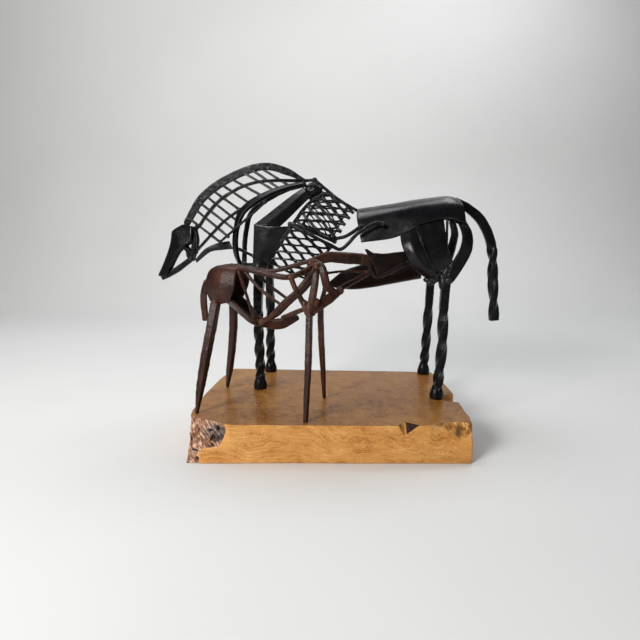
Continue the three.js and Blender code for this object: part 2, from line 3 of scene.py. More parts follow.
import bpy
import numpy as np
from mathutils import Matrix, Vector


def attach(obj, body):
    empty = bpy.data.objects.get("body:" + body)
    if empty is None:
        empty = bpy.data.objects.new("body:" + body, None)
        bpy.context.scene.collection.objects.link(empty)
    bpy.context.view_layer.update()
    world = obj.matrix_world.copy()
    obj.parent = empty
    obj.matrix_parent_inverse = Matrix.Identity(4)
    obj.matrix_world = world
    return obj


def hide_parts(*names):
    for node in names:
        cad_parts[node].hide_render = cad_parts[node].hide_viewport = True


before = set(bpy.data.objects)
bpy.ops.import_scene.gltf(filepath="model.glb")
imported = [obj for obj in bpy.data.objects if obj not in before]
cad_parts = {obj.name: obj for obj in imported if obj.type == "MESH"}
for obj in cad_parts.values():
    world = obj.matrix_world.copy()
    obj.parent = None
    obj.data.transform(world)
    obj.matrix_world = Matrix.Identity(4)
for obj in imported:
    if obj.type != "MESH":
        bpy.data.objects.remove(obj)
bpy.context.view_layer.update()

# Sizes in millimetres, as in the solids
SLAB = 50.0
PLATE = 3.0
LEG_BAR = 11.5
HOOF = 17.5
LATTICE = 3.8
SOLE = 0.35
KNUCKLE_TAPER = 0.35
MESH_CELLS = (2, 5)
NEAR_STRAND = (3.4, 2.4)
LOW_STRAND = (3.5, 2.4)
FAR_STRAND = (2.7, 2.0)
PLACES = {
    "mare": ((41.5, 54.5, SLAB), -6.5),
    "foal": ((-78.0, -44.0, SLAB), -14.8),
    "base": ((0.0, 0.0, 0.0), 0.0),
}
SIDE = [0, -1, 0]
UP = [0, 0, 1]


# Depth of the hammer marks, and where each animal's marks start
SHEET_MARKS = 0.15
BAR_MARKS = 0.42
FOAL_MARKS = 0.55
RUMP_MARKS = 0.35
MARE_SEED = 40
FOAL_SEED = 140
MARK_SIZE = 6.5


# Noise over points, the same on every run
def cell_value(cells, seed):
    c = cells.astype(np.int64)
    h = c[..., 0] * 73856093 ^ c[..., 1] * 19349663 ^ c[..., 2] * 83492791 ^ (seed + 11) * 2654435761
    h = (h ^ (h >> 13)) * 1274126177 & 0xFFFFFFFF
    h = (h ^ (h >> 15)) * 2246822519 & 0xFFFFFFFF
    h ^= h >> 13
    return (h & 0xFFFFFF) / float(0xFFFFFF)


def noise(points, size, seed=0):
    """Smooth noise from -1 to 1 with features of about that size."""
    q = points / size
    low = np.floor(q)
    w = q - low
    w = w * w * (3 - 2 * w)
    total = np.zeros(points.shape[:-1])
    for dx in (0, 1):
        for dy in (0, 1):
            for dz in (0, 1):
                share = (w[..., 0] if dx else 1 - w[..., 0]) * (w[..., 1] if dy else 1 - w[..., 1])
                share = share * (w[..., 2] if dz else 1 - w[..., 2])
                total += share * cell_value(low + np.array([dx, dy, dz]), seed)
    return 2 * total - 1


def dents(points, size, seed=0):
    """Distance to the nearest of scattered points, in cells: hammer marks."""
    q = points / size
    low = np.floor(q)
    near = np.full(points.shape[:-1], 9.0)
    for dx in (-1, 0, 1):
        for dy in (-1, 0, 1):
            for dz in (-1, 0, 1):
                cell = low + np.array([dx, dy, dz])
                spot = np.stack([cell_value(cell, seed + k) for k in (1, 2, 3)], -1)
                near = np.minimum(near, ((cell + spot - q) ** 2).sum(-1))
    return np.sqrt(near)


# Lines
def unit(v):
    return v / np.maximum(np.linalg.norm(v, axis=-1, keepdims=True), 1e-9)


def catmull(points, t):
    """Centripetal line through points (n, ..., 3) at each t from 0 to 1."""
    p = np.asarray(points, float)
    n = len(p)
    q = np.concatenate([2 * p[:1] - p[1:2], p, 2 * p[-1:] - p[-2:-1]])
    x = np.clip(t, 0, 1) * (n - 1)
    i = np.minimum(np.floor(x).astype(int), n - 2)
    w = (x - i).reshape((-1,) + (1,) * (p.ndim - 1))
    p0, p1, p2, p3 = q[i], q[i + 1], q[i + 2], q[i + 3]
    gap = lambda a, b: np.maximum(((a - b) ** 2).sum(-1, keepdims=True), 1e-6) ** 0.25
    d0, d1, d2 = gap(p0, p1), gap(p1, p2), gap(p2, p3)
    m1 = ((p1 - p0) / d0 - (p2 - p0) / (d0 + d1) + (p2 - p1) / d1) * d1
    m2 = ((p2 - p1) / d1 - (p3 - p1) / (d1 + d2) + (p3 - p2) / d2) * d1
    return p1 + m1 * w + (3 * (p2 - p1) - 2 * m1 - m2) * w**2 + (2 * (p1 - p2) + m1 + m2) * w**3


def size_at(size, t):
    """One size, or sizes at even steps along a line."""
    if np.isscalar(size):
        return np.full(len(t), float(size))
    return np.interp(t, np.linspace(0, 1, len(size)), size)


def mirror(points):
    return [[x, -y, z] for x, y, z in points]


def between(a, b, share):
    return [[p + (q - p) * share for p, q in zip(u, v)] for u, v in zip(a, b)]


# Shapes: each is (vertices, list of face arrays)
def joined(*shapes):
    verts, faces, base = [], [], 0
    for v, f in shapes:
        verts.append(v)
        faces += [k + base for k in f]
        base += len(v)
    return np.concatenate(verts), faces


def tube_faces(rings, around):
    i, k = np.meshgrid(np.arange(rings - 1), np.arange(around), indexing="ij")
    a, b = i * around + k, i * around + (k + 1) % around
    return np.stack([a, b, b + around, a + around], -1).reshape(-1, 4)


def capped(v, rings, around):
    """Closes a tube at both ends with a fan."""
    ends = np.array([v[:around].mean(0), v[-around:].mean(0)])
    k = np.arange(around)
    first = np.stack([np.full(around, len(v)), (k + 1) % around, k], -1)
    top = (rings - 1) * around
    last = np.stack([np.full(around, len(v) + 1), top + k, top + (k + 1) % around], -1)
    return np.concatenate([v, ends]), [tube_faces(rings, around), first, last]


def section(width, thick, sides, corner):
    """Outline of a bar for each ring: a round, or a rectangle with rounded corners."""
    if sides != 4:
        a = np.linspace(0, 2 * np.pi, 14, endpoint=False)
        return width[:, None] / 2 * np.cos(a), thick[:, None] / 2 * np.sin(a)
    r = corner * np.minimum(width, thick)[:, None]
    xs, ys = [], []
    for q, (sx, sy) in enumerate(((1, 1), (-1, 1), (-1, -1), (1, -1))):
        a = np.radians(np.array([0, 30, 60, 90]) + 90 * q)
        xs.append(sx * (width[:, None] / 2 - r) + r * np.cos(a))
        ys.append(sy * (thick[:, None] / 2 - r) + r * np.sin(a))
        for k in (0.82, 0.0, -0.82):
            run = k * (width[:, None] / 2 - r if q % 2 == 0 else thick[:, None] / 2 - r)
            xs.append(sx * run if q % 2 == 0 else sx * width[:, None] / 2 + 0 * r)
            ys.append(sy * thick[:, None] / 2 + 0 * r if q % 2 == 0 else sy * run)
    return np.concatenate(xs, 1), np.concatenate(ys, 1)


def bar(
    points, width, thick, face=SIDE, sides=4, twist=0.0, start=0.0, end=1.0, corner=0.24, step=1.5,
    welds=(0, 0)
):
    """A forged bar along a line. Width lies across the face direction and thick along it."""
    dense = np.linspace(0, 1, 401)
    c = catmull(points, dense)
    arc = np.r_[0, np.cumsum(np.linalg.norm(np.diff(c, axis=0), axis=1))]
    length = arc[-1]
    e = min(1.0, 0.1 * length)
    inner = np.linspace(e, length - e, max(3, int(length / step)))
    at = np.r_[0, 0.3 * e, inner, length - 0.3 * e, length]
    t = np.interp(at, arc, dense)
    centre = catmull(points, t)
    along = unit(catmull(points, np.minimum(t + 1e-3, 1)) - catmull(points, np.maximum(t - 1e-3, 0)))
    f = np.asarray(face, float)
    out = f[0] * (1 - t[:, None]) + f[1] * t[:, None] if f.ndim > 1 else np.tile(f, (len(t), 1))
    out = unit(out - along * (out * along).sum(-1, keepdims=True))
    across = np.cross(out, along)
    u = np.clip((t - start) / (end - start), 0, 1)
    turn = (twist * 2 * np.pi * u)[:, None]
    shrink = np.ones(len(t))
    shrink[[0, -1]] = 0.72
    shrink[[1, -2]] = 0.93
    w, h = size_at(width, t) * shrink, size_at(thick, t) * shrink
    x, y = section(w, h, sides, corner)
    xr, yr = x * np.cos(turn) - y * np.sin(turn), x * np.sin(turn) + y * np.cos(turn)
    v = centre[:, None] + across[:, None] * xr[..., None] + out[:, None] * yr[..., None]
    shape = capped(v.reshape(-1, 3), len(t), x.shape[1])
    beads = [shape]
    for k, share in zip((2, -3), welds):
        if share:
            beads.append(bead(centre[0 if k > 0 else -1], share * 0.62 * max(w[k], h[k]), along[k]))
    return joined(*beads) if len(beads) > 1 else shape


def collar(points, at, width, thick):
    """A narrow seam of weld round a bar."""
    ends = catmull(points, np.array([at - 0.006, at, at + 0.006]))
    return bar(
        ends.tolist(), [width - 0.6, width, width - 0.6], [thick - 0.6, thick, thick - 0.6], corner=0.3,
        step=0.4
    )


def bead(at, radius, along=(0, 0, 1), long=1.0):
    """A lump of weld metal."""
    rings, around = 9, 14
    a = np.linspace(0.12, np.pi - 0.12, rings)
    b = np.linspace(0, 2 * np.pi, around, endpoint=False)
    z = unit(np.asarray(along, float))
    x = unit(np.cross(z, [0.31, 0.77, 0.55]))
    y = np.cross(z, x)
    local = np.stack(
        [
            np.sin(a)[:, None] * np.cos(b), np.sin(a)[:, None] * np.sin(b),
            np.cos(a)[:, None] * np.ones(around) * long
        ],
        -1
    )
    v = (local * radius).reshape(-1, 3) @ np.stack([x, y, z]) + np.asarray(at, float)
    v = v + unit(v - np.asarray(at)) * (0.16 * radius * noise(v, 0.8 * radius, 5))[:, None]
    v, faces = capped(v, rings, around)
    return v, [f[:, ::-1] for f in faces]


def lump(at, radii, taper=KNUCKLE_TAPER):
    """A forged knuckle: folds of iron drawn in to a blunt point below."""
    rings, around = 34, 72
    a = np.linspace(0.08, np.pi - 0.08, rings)[:, None]
    b = np.linspace(0, 2 * np.pi, around, endpoint=False)
    ball = np.stack([np.sin(a) * np.cos(b), np.sin(a) * np.sin(b), np.cos(a) + 0 * b], -1)
    drawn = 1 - taper * np.maximum(-ball[..., 2:], 0)
    ball = ball * np.concatenate([drawn, drawn, 2 - drawn], -1)
    fold = np.abs(np.sin(2.5 * b + 0.9 + 0.8 * np.cos(a))) ** 0.6 - 0.75
    fold = 0.16 * fold * np.sin(a) ** 0.5 + 0.10 * noise(ball, 0.45, 17) + 0.04 * noise(ball, 0.16, 18)
    v = (ball * (0.97 + fold)[..., None] * np.array(radii) + np.array(at)).reshape(-1, 3)
    v, faces = capped(v, rings, around)
    return v, [f[:, ::-1] for f in faces]


def surface(lines, folded=False):
    """Points over lines, s along them and t across, smooth or folded at each line."""
    rows = [np.asarray(line, float) for line in lines]

    def grid(s, t):
        row = np.stack([catmull(r, s) for r in rows])
        if folded or len(rows) == 2:
            x = t * (len(rows) - 1)
            i = np.minimum(np.floor(x).astype(int), len(rows) - 2)
            w = (x - i)[:, None, None]
            g = row[i] * (1 - w) + row[i + 1] * w
        else:
            g = catmull(row, t)
        return g.transpose(1, 0, 2)

    return grid


def spans(grid):
    """Mean lengths of a surface along and across its lines."""
    g = grid(np.linspace(0, 1, 40), np.linspace(0, 1, 40))
    along = np.linalg.norm(np.diff(g, axis=0), axis=-1).sum(0).mean()
    return along, np.linalg.norm(np.diff(g, axis=1), axis=-1).sum(1).mean()


def plate(lines, thick=PLATE, folded=False, step=1.8):
    """A bent plate with rounded edges over lines that run along it."""
    grid = surface(lines, folded)
    h = thick / 2
    lengths = spans(grid)

    def samples(length):
        edge = np.array([0, 0.06, 0.25, 0.6, 1.1]) * h / length
        inner = np.linspace(edge[-1], 1 - edge[-1], max(3, int(length / step)))
        return np.r_[edge[:-1], inner, 1 - edge[-2::-1]]

    s, t = samples(lengths[0]), samples(lengths[1])
    g = grid(s, t)
    normal = unit(np.cross(np.gradient(g, axis=0), np.gradient(g, axis=1)))
    inward = np.minimum(
        np.minimum(s, 1 - s)[:, None] * lengths[0], np.minimum(t, 1 - t)[None] * lengths[1]
    )
    lift = (h * np.sqrt(1 - (1 - np.clip(inward / h, 0, 1)) ** 2))[..., None]
    rows, cols = len(s), len(t)
    front = np.arange(rows * cols).reshape(rows, cols)
    back = front.copy()
    back[1:-1, 1:-1] = rows * cols + np.arange((rows - 2) * (cols - 2)).reshape(rows - 2, cols - 2)
    quads = lambda k: np.stack([k[:-1, :-1], k[1:, :-1], k[1:, 1:], k[:-1, 1:]], -1).reshape(-1, 4)
    v = np.concatenate(
        [(g + normal * lift).reshape(-1, 3), (g - normal * lift)[1:-1, 1:-1].reshape(-1, 3)]
    )
    return v, [quads(front), quads(back)[:, ::-1]]


def mesh_panel(lines, along, across, strand, thick, cut=False):
    """Expanded metal: strands that part and join over a bent panel. Its free edge may be left cut."""
    grid = surface(lines)
    at = lambda s, t: grid(np.array([s]), np.array([t]))[0, 0]

    def facing(s, t):
        ds = at(min(s + 0.02, 1), t) - at(max(s - 0.02, 0), t)
        return unit(np.cross(ds, at(s, min(t + 0.02, 1)) - at(s, max(t - 0.02, 0))))

    columns, rows = 2 * along, 2 * across

    def shift(i, j):
        if not 0 < j < rows:
            return 0.0
        return 0.10 * noise(np.array([[i * 3.1, j * 2.3, along]]), 1.0, 61)[0]

    node = lambda i, j: (i / columns, (j + shift(i, j)) / rows)
    shapes = []
    for i in range(columns):
        for j in range(rows + 1):
            for dj in (-1, 1):
                if (i + j) % 2 == 0 or not 0 <= j + dj <= rows:
                    continue
                (s0, t0), (s1, t1) = node(i, j), node(i + 1, j + dj)
                out = facing((s0 + s1) / 2, (t0 + t1) / 2)
                lean = unit(at(s1, t1) - at(s0, t0))
                tilt = unit(out + 0.45 * dj * np.cross(lean, out))
                bend = [(0.0, 0.0), (0.3, 0.25), (0.7, 0.75), (1.0, 1.0)]
                points = []
                for a, b in bend:
                    lift = out * 0.5 * dj * (a > 0) * (a < 1)
                    points.append(at(s0 + (s1 - s0) * a, t0 + (t1 - t0) * b) + lift)
                wide = strand * (1.2 if dj > 0 else 0.78)
                widths = [strand * 1.3, wide, wide, strand * 1.3]
                shapes.append(bar(points, widths, thick, face=tilt, corner=0.3, step=1.8))
    u = np.linspace(0, 1, 7)
    for edge in ([(a, 0) for a in u], [(a, 1) for a in u], [(0, a) for a in u], [(1, a) for a in u]):
        if cut and edge[0][0] == 1:
            continue
        heavy = 1.5 if edge[0][0] == edge[-1][0] == 0 else 0.9
        line = [at(*p) for p in edge]
        shapes.append(bar(line, strand * heavy, thick, face=facing(*edge[3]), corner=0.3, step=2.5))
    return joined(*shapes)


def lathe(at, profile, wide=1.0, around=26):
    """A turned form from radii and heights, such as a hoof."""
    r, z = np.array(profile, float).T
    fine = np.linspace(0, 1, 6 * len(profile))
    both = catmull(np.stack([r, z, 0 * r], -1), fine)
    a = np.linspace(0, 2 * np.pi, around, endpoint=False)
    ring = np.stack(
        [
            both[:, :1] * np.cos(a) * wide + at[0], both[:, :1] * np.sin(a) + at[1],
            np.repeat(both[:, 1:2], around, 1)
        ],
        -1
    )
    return capped(ring.reshape(-1, 3), len(fine), around)


def mare_leg(points, top, turns):
    width = [top, LEG_BAR + 1, LEG_BAR, LEG_BAR, LEG_BAR, LEG_BAR - 0.5, LEG_BAR]
    shank = bar(
        points, width, width, twist=turns, start=0.3, end=0.9, corner=0.1, step=1.2, welds=(0.9, 0)
    )
    x, y, _ = points[-1]
    rings = [
        [HOOF * 0.5, SOLE], [HOOF * 0.525, 2.5], [HOOF * 0.52, 6], [HOOF * 0.47, 10.5],
        [LEG_BAR * 0.58, 15.5], [LEG_BAR * 0.5, 20]
    ]
    return joined(shank, lathe((x, y), rings, 1.08))


def foal_leg(points, top, foot):
    width = [top, top, top * 0.97, top * 0.85, foot]
    return bar(points, width, width, twist=0.06, corner=0.18, step=1.4, welds=(0.76, 0))


# Mare
CREST = [[-248, 0, 243], [-219, 0, 283], [-177, 0, 310], [-125, 0, 326], [-90, 0, 318], [-66, 0, 306]]
THROAT_LINE = [[-194, -8, 217], [-164, -22, 234], [-156, -20, 263], [-126, -16, 284], [-87, -6, 298]]
FACE_RIDGE = [
    [-252, 0, 242], [-268.5, 0, 233], [-270.5, 0, 230], [-272, 0, 221], [-276, 0, 207], [-287, 0, 182],
    [-297, 0, 163],
]
FACE_EDGE = [
    [-236, -10, 239], [-235, -12, 231], [-238, -13, 217], [-250, -12, 210], [-262, -10, 200],
    [-278, -7, 171], [-281, -6, 162],
]
RUNG_TOPS = [0.04, 0.108, 0.158, 0.216, 0.269, 0.333, 0.401, 0.477, 0.522, 0.572]
RUNG_FEET = [0, 0.125, 0.245, 0.358, 0.493, 0.61, 0.748, 0.867, 0.916, 1]
UPPER_BAR = [0.33, 0.31, 0.31, 0.34, 0.4, 0.44, 0.46, 0.54, 0.61, 0.73]
LOWER_BAR = [0.72, 0.69, 0.69, 0.79, 0.98]


def neck_lattice():
    tops = catmull(CREST, np.array(RUNG_TOPS))
    feet = catmull(THROAT_LINE, np.array(RUNG_FEET))
    on = lambda k, f: (tops[k] + (feet[k] - tops[k]) * f).tolist()
    shapes = [
        bar([a, b], LATTICE, LATTICE, corner=0.3, welds=(1.1, 1.1))
        for a, b in zip(tops.tolist(), feet.tolist())
    ]
    upper = [
        [-231, -1, 238], *[on(k, f) for k, f in enumerate(UPPER_BAR)], [-66, 0, 305], [-50, 0, 306]
    ]
    lower = [[-234, -2, 201], *[on(k, f) for k, f in enumerate(LOWER_BAR)]]
    shapes.append(bar(upper, LATTICE + 0.8, LATTICE + 2.2, corner=0.3, welds=(1, 1)))
    shapes.append(bar(lower, LATTICE + 0.2, LATTICE + 2.2, corner=0.3, welds=(1, 1)))
    return joined(*shapes)


def cheek(side):
    outer = [
        [-236, 5 * side, 235], [-234, 5.5 * side, 219], [-237, 5 * side, 204], [-241, 4 * side, 191]
    ]
    inner = [[-252, 7 * side, 210], [-246, 6 * side, 202], [-245, 5 * side, 194], [-240, 5 * side, 191]]
    return joined(bar(outer, 7, 5.5, welds=(1, 1)), bar(inner, 5, 4, welds=(1, 1)))


HOOP = [
    [-66, -5, 300], [-93, -12, 294], [-120, -20, 283], [-142, -24, 270], [-155, -26, 256],
    [-161, -28, 236], [-164, -27, 217], [-164, -22, 198], [-162, -12, 183],
]
BLADE_TOP = [[-64, -8, 295], [-81, -16, 283], [-108, -28, 261], [-131, -39, 242]]
BLADE_CREASE = [[-60, -16, 288], [-75, -24, 274], [-96, -35, 255], [-114, -44, 240]]
BLADE_LOW = [[-56, -14, 279], [-70, -24, 264], [-83, -33, 250], [-94, -41, 239]]
SPINE = [[-48, 0, 305], [-36, 0, 295], [-20, 0, 282], [-2, 0, 270], [15, 0, 261]]
MESH_TOP = [[-35, -4, 288], [-15, -6, 279], [11, -8, 262]]
MESH_BULGE = [[-57, -32, 268], [-29, -35, 257], [-2, -35, 241]]
MESH_WAIST = [[-74, -45, 243], [-45, -47, 230], [-15, -46, 217]]
MESH_FLANK = [[-93, -47, 215], [-66, -49, 203], [-40, -48, 190]]
MESH_BELLY = [[-111, -40, 190], [-87, -40, 177], [-60, -38, 166]]
BACK_EDGE = [
    [21, -46, 217], [70, -48, 225], [96, -48, 240], [120, -46, 247], [140, -44, 250], [164, -30, 243]
]
BACK_FOLD = [
    [14, -33, 249], [62, -35, 258], [92, -35, 264], [116, -34, 267], [140, -30, 270], [161, -20, 266]
]
BACK_RIDGE = [[13, 0, 263], [62, 0, 270], [92, 0, 275], [116, 0, 278], [144, 0, 280], [158, 0, 275]]
BELLY_SIDE = [[-27, -22, 157], [-5, -33, 176], [21, -37, 186], [60, -39, 201], [102, -42, 206]]
BELLY_KEEL = [[-29, -16, 153], [6, -14, 149], [36, -12, 152], [66, -12, 158], [108, -14, 167]]
BELLY_FAR = [[-27, -12, 155], [-2, 10, 164], [20, 22, 172], [60, 28, 177], [106, 43, 178]]
HAUNCH_FRONT = [[74, -48, 227], [76, -58, 214], [83, -63, 198], [92, -62, 184], [110, -54, 170]]
HAUNCH_CROWN = [[84, -51, 234], [89, -63, 217], [97, -68, 200], [107, -65, 183], [117, -55, 171]]
HAUNCH_SEAM = [[94, -49, 240], [100, -58, 222], [109, -62, 201], [117, -60, 185], [123, -54, 174]]
HAUNCH_INNER = [[97, -42, 243], [102, -53, 222], [111, -57, 201], [119, -55, 186], [124, -50, 175]]
HAUNCH_REAR = [[132, -39, 252], [135, -49, 227], [138, -53, 210], [143, -52, 199], [146, -50, 191]]
RUMP_HOOP = [
    [159, -20, 247], [166, -32, 228], [164, -41, 209], [155, -46, 191], [146, -48, 176], [140, -49, 166]
]
RUMP_HOOP_FAR = [
    [152, 14, 246], [158, 25, 229], [157, 33, 213], [155, 39, 198], [148, 44, 178], [138, 48, 160]
]
TAIL = [
    [155, 0, 274], [170, 0, 265], [186, 0, 252], [197, 0, 236], [205, 0, 217],
    [209, 0, 197], [211, 0, 170], [214, 0, 136], [217, 0, 103],
]
HIND_NEAR = [
    [141, -40, 184], [138.5, -46, 168], [136, -52, 117], [136, -55, 76], [133, -58, 35], [132, -59, 14],
    [131, -59, 2]
]
HIND_FAR = [
    [131, 45, 196], [128, 47, 152], [127, 51, 108], [126, 54, 66], [125, 57, 34], [124, 59, 14],
    [124, 59, 2]
]
FORE_NEAR = [
    [-124, -38, 182], [-128, -40, 140], [-129, -40, 112], [-128, -42, 74], [-127, -43, 38],
    [-127, -44, 14], [-127, -44, 2]
]
FORE_FAR = [
    [-116, 37, 236], [-127, 38, 180], [-128, 40, 122], [-129, 42, 74], [-130, 43, 38], [-130, 44, 14],
    [-130, 44, 2]
]
SHOULDER = [
    [[-132, -39, 243], [-134, -38, 213], [-136, -36, 184]],
    [[-102, -44, 239], [-116, -42, 213], [-125, -38, 184]],
    [[-75, -42, 240], [-97, -41, 210], [-113, -37, 184]],
]
THROAT = [
    [[-236, -1, 189], [-220, -2, 205], [-200, -4, 214], [-178, -10, 218]],
    [[-234, -1, 184], [-210, -3, 201], [-192, -7, 204], [-171, -15, 206]],
]
SIDE_ROD = [
    [-78, -48, 242], [-50, -52, 228], [-22, -53, 214], [-9, -53, 208],
    [-3, -53, 210], [18, -53, 231], [42, -53, 244], [50, -52, 242],
]
LEG_WELDS = [
    ([138, -47, 176], 7.0, (0.5, 0, 1), 1.6), ([143, -47, 184], 5.2, (0.4, 0, 1), 1.8),
    ([133, -48, 171], 5.0, (-0.4, 0, 1), 1.6), ([145, -50.5, 190], 2.6, (0.4, 0, 1), 1.4),
    ([144, -51.5, 185], 2.4, (0.5, 0, 1), 1.4), ([142, -52.5, 180], 2.6, (0.5, 0, 1), 1.4),
    ([141, -52.8, 175], 2.4, (0.4, 0, 1), 1.4), ([134, -48.5, 163], 6.2, (0, 0, 1), 1.8),
]
HAUNCH_WELDS = [
    ([121, -50, 168], 6.0, (1, 0, 0.2), 1.6), ([114, -51, 167], 4.4, (1, 0, 0), 1.6),
    ([125, -52, 174], 3.6, (1, 0, 0.6), 1.7), ([118, -52, 163], 3.6, (1, 0, 0.1), 1.8),
]
NEAR_HOOP = [[0, -0.6, 0.8], [-0.7, -0.7, 0]]
FAR_HOOP = [[0, 0.6, 0.8], [-0.7, 0.7, 0]]
shorter = lambda p: [p[0], p[1], between([p[1]], [p[2]], 0.6)[0]]

mare = {
    "mare_crest_band": bar(CREST, [10, 12.5, 12, 10.5, 10.5, 5], 5, welds=(0.6, 0.9)),
    "mare_face_plate": plate([FACE_EDGE, FACE_RIDGE, mirror(FACE_EDGE)], step=1.4),
    "mare_withers_knuckle": lump([-51, -3, 290], [14, 9.5, 13]),
    "mare_back_plate": plate(
        [BACK_EDGE, BACK_FOLD, BACK_RIDGE, mirror(BACK_FOLD), mirror(BACK_EDGE)], step=2.2
    ),
    "mare_leg_hind_left": joined(mare_leg(HIND_NEAR, 16, 0.95), *[bead(*w) for w in LEG_WELDS]),
    "mare_leg_hind_right": mare_leg(HIND_FAR, 13, 0.95),
    "mare_haunch_front_left": joined(
        plate([HAUNCH_FRONT, HAUNCH_CROWN, HAUNCH_SEAM], step=1.4),
        bar([[x + 0.4, y - 1.3, z] for x, y, z in HAUNCH_SEAM], 1.9, 1.9, corner=0.35, step=1.2),
        *[bead(*w) for w in HAUNCH_WELDS],
    ),
    "mare_haunch_rear_left": plate([HAUNCH_INNER, HAUNCH_REAR], step=1.6),
    "mare_haunch_right": plate([mirror(HAUNCH_REAR), mirror(HAUNCH_INNER)]),
    "mare_shoulder_plate_left": plate(SHOULDER),
    "mare_leg_fore_left": mare_leg(FORE_NEAR, 17, 1.3),
    "mare_leg_fore_right": mare_leg(FORE_FAR, 12, 1.2),
    "mare_shoulder_blade_left": plate([BLADE_TOP, BLADE_CREASE, BLADE_LOW], folded=True, step=1.4),
    "mare_shoulder_blade_right": plate(
        [mirror(between(BLADE_TOP, BLADE_CREASE, 0.9)), mirror(BLADE_TOP)]
    ),
    "mare_chest_hoop_left": bar(
        HOOP, [7, 9, 11, 12, 12, 9, 9, 9, 9], 5.5, face=NEAR_HOOP, welds=(0.8, 0.8)
    ),
    "mare_chest_hoop_right": bar(mirror(HOOP), 7, 5.5, face=FAR_HOOP, welds=(0.9, 0.9)),
    "mare_rump_hoop_left": bar(
        RUMP_HOOP, [12, 15, 17, 17, 17, 15], 5, face=[[0.4, -0.75, 0.4], [0.3, -0.95, -0.1]],
        welds=(0.6, 0.7)
    ),
    "mare_rump_hoop_right": bar(
        RUMP_HOOP_FAR, [10, 11, 12, 12, 12, 11], 5, face=[[0.6, 0.5, 0.4], [0.5, 0.8, -0.2]],
        welds=(0.6, 0.7)
    ),
    "mare_tail": bar(
        TAIL, [10, 12, 13, 13, 13, 13.5, 14, 14, 14], [6, 7, 8, 9, 10, 10, 10, 10, 10], twist=1,
        start=0.52, end=0.99, welds=(0.9, 0)
    ),
    "mare_belly_plate": plate([BELLY_SIDE, BELLY_KEEL, BELLY_FAR], step=2.0),
    "mare_jaw_bar": bar(
        [[-292, 0, 161], [-267, 0, 173], [-240, 0, 192]], [10, 9, 8], [9, 8, 8], welds=(0, 0.8)
    ),
    "mare_cheek_left": cheek(-1),
    "mare_cheek_right": cheek(1),
    "mare_throat_plate": plate(THROAT),
    "mare_neck_lattice": neck_lattice(),
    "mare_throat_rod": bar(
        [[-190, -16, 217], [-166, -34, 232], [-144, -34, 250], [-118, -28, 273]], 3.6, 3.6, sides=6,
        welds=(1.2, 1.2)
    ),
    "mare_breast_bar": bar(
        [[-165, -6, 181], [-150, -22, 183], [-134, -33, 184]], 7, 6, face=UP, welds=(1.1, 1.1)
    ),
    "mare_chest_strut": bar([[-158, -25, 206], [-134, -38, 197]], 4, 4, welds=(1.1, 1.1)),
    "mare_spine_rod": bar(SPINE, 4.6, 4.6, welds=(1.1, 1.1)),
    "mare_side_rod_left": bar(SIDE_ROD, 5, 5, sides=5, welds=(1.2, 1.1)),
    "mare_side_rod_right": bar(
        [[-74, 48, 242], [-50, 52, 228], [-24, 52, 216]], 5, 5, sides=6, welds=(1.2, 1.2)
    ),
    "mare_link_bar": bar([[-16, -42, 222], [0, -45, 226], [19, -46, 238]], 5, 4, welds=(1.2, 1.2)),
    "mare_rib_mesh_upper_left": mesh_panel(
        [MESH_TOP, MESH_BULGE, MESH_WAIST], *MESH_CELLS, *NEAR_STRAND, cut=True
    ),
    "mare_rib_mesh_lower_left": mesh_panel(
        [[[x - 3, y, z - 4] for x, y, z in MESH_WAIST], MESH_FLANK, MESH_BELLY], *MESH_CELLS,
        *LOW_STRAND
    ),
    "mare_rib_mesh_right": mesh_panel(
        [shorter(mirror(m)) for m in (MESH_WAIST, MESH_BULGE, MESH_TOP)], *MESH_CELLS, *FAR_STRAND
    ),
    "mare_rump_rod": bar([[137, -40, 252], [137, -44, 214]], 3.6, 3.6, sides=6, welds=(1.2, 1.2)),
}

# Foal
RUMP_SIDE = [[-24, -5, 188], [-24, -18, 183], [-26, -24, 163], [-34, -20, 143]]
RUMP_CORNER = [[-42, -5, 190], [-44, -18, 184], [-47, -24, 164], [-54, -20, 138]]
RUMP_RIDGE = [[-40, -10, 188.5], [-43.5, -18.5, 183.5], [-46.5, -24, 165], [-53, -20.5, 142]]
RUMP_REAR = [[-60, 0, 187], [-70, -3, 180], [-76, -3, 160], [-70, -3, 140]]
BAND_EDGE = [
    [-42, -15, 151], [-32, -17, 144], [-20, -16, 134], [-8, -11, 122], [6, -8, 118], [28, -8, 120],
    [50, -2, 126]
]
BAND_KEEL = [
    [-48, 0, 140], [-39, 0, 134], [-28, 0, 124], [-11, 0, 112], [6, 0, 109], [28, 0, 108], [53, 0, 122]
]
NECK = [[66, 10, 193], [84, 26, 199.5], [104, 42, 198], [124, 56, 196], [136, 64, 193]]


def foal_head():
    brow = [[131, 61, 203], [140, 65, 204], [152, 72, 203], [168, 80, 205], [182, 87, 206]]
    jaw = [[143, 63, 171], [152, 67, 174], [166, 74, 181], [175, 80, 187], [183, 86, 194]]
    skull = plate([jaw, brow], 8, step=1.0)
    rim_near = [
        [130, 57, 199], [135, 57.5, 187], [142, 58, 173.5], [153, 62.5, 175.5], [166, 69.5, 182.5],
        [176, 76, 189]
    ]
    rim_far = [[x + 3.5, y + 8.5, z] for x, y, z in rim_near]
    rims = [bar(line, 5, 5, sides=6, step=1.0) for line in (rim_near, rim_far)]
    ear = lambda dy: bar(
        [[139, 66 + dy, 198], [133, 64 + dy, 203], [128, 62 + dy, 209]], [8, 5.5, 1.5], [5, 4, 1.5],
        corner=0.35, step=0.9
    )
    return joined(skull, *rims, ear(-4), ear(5))


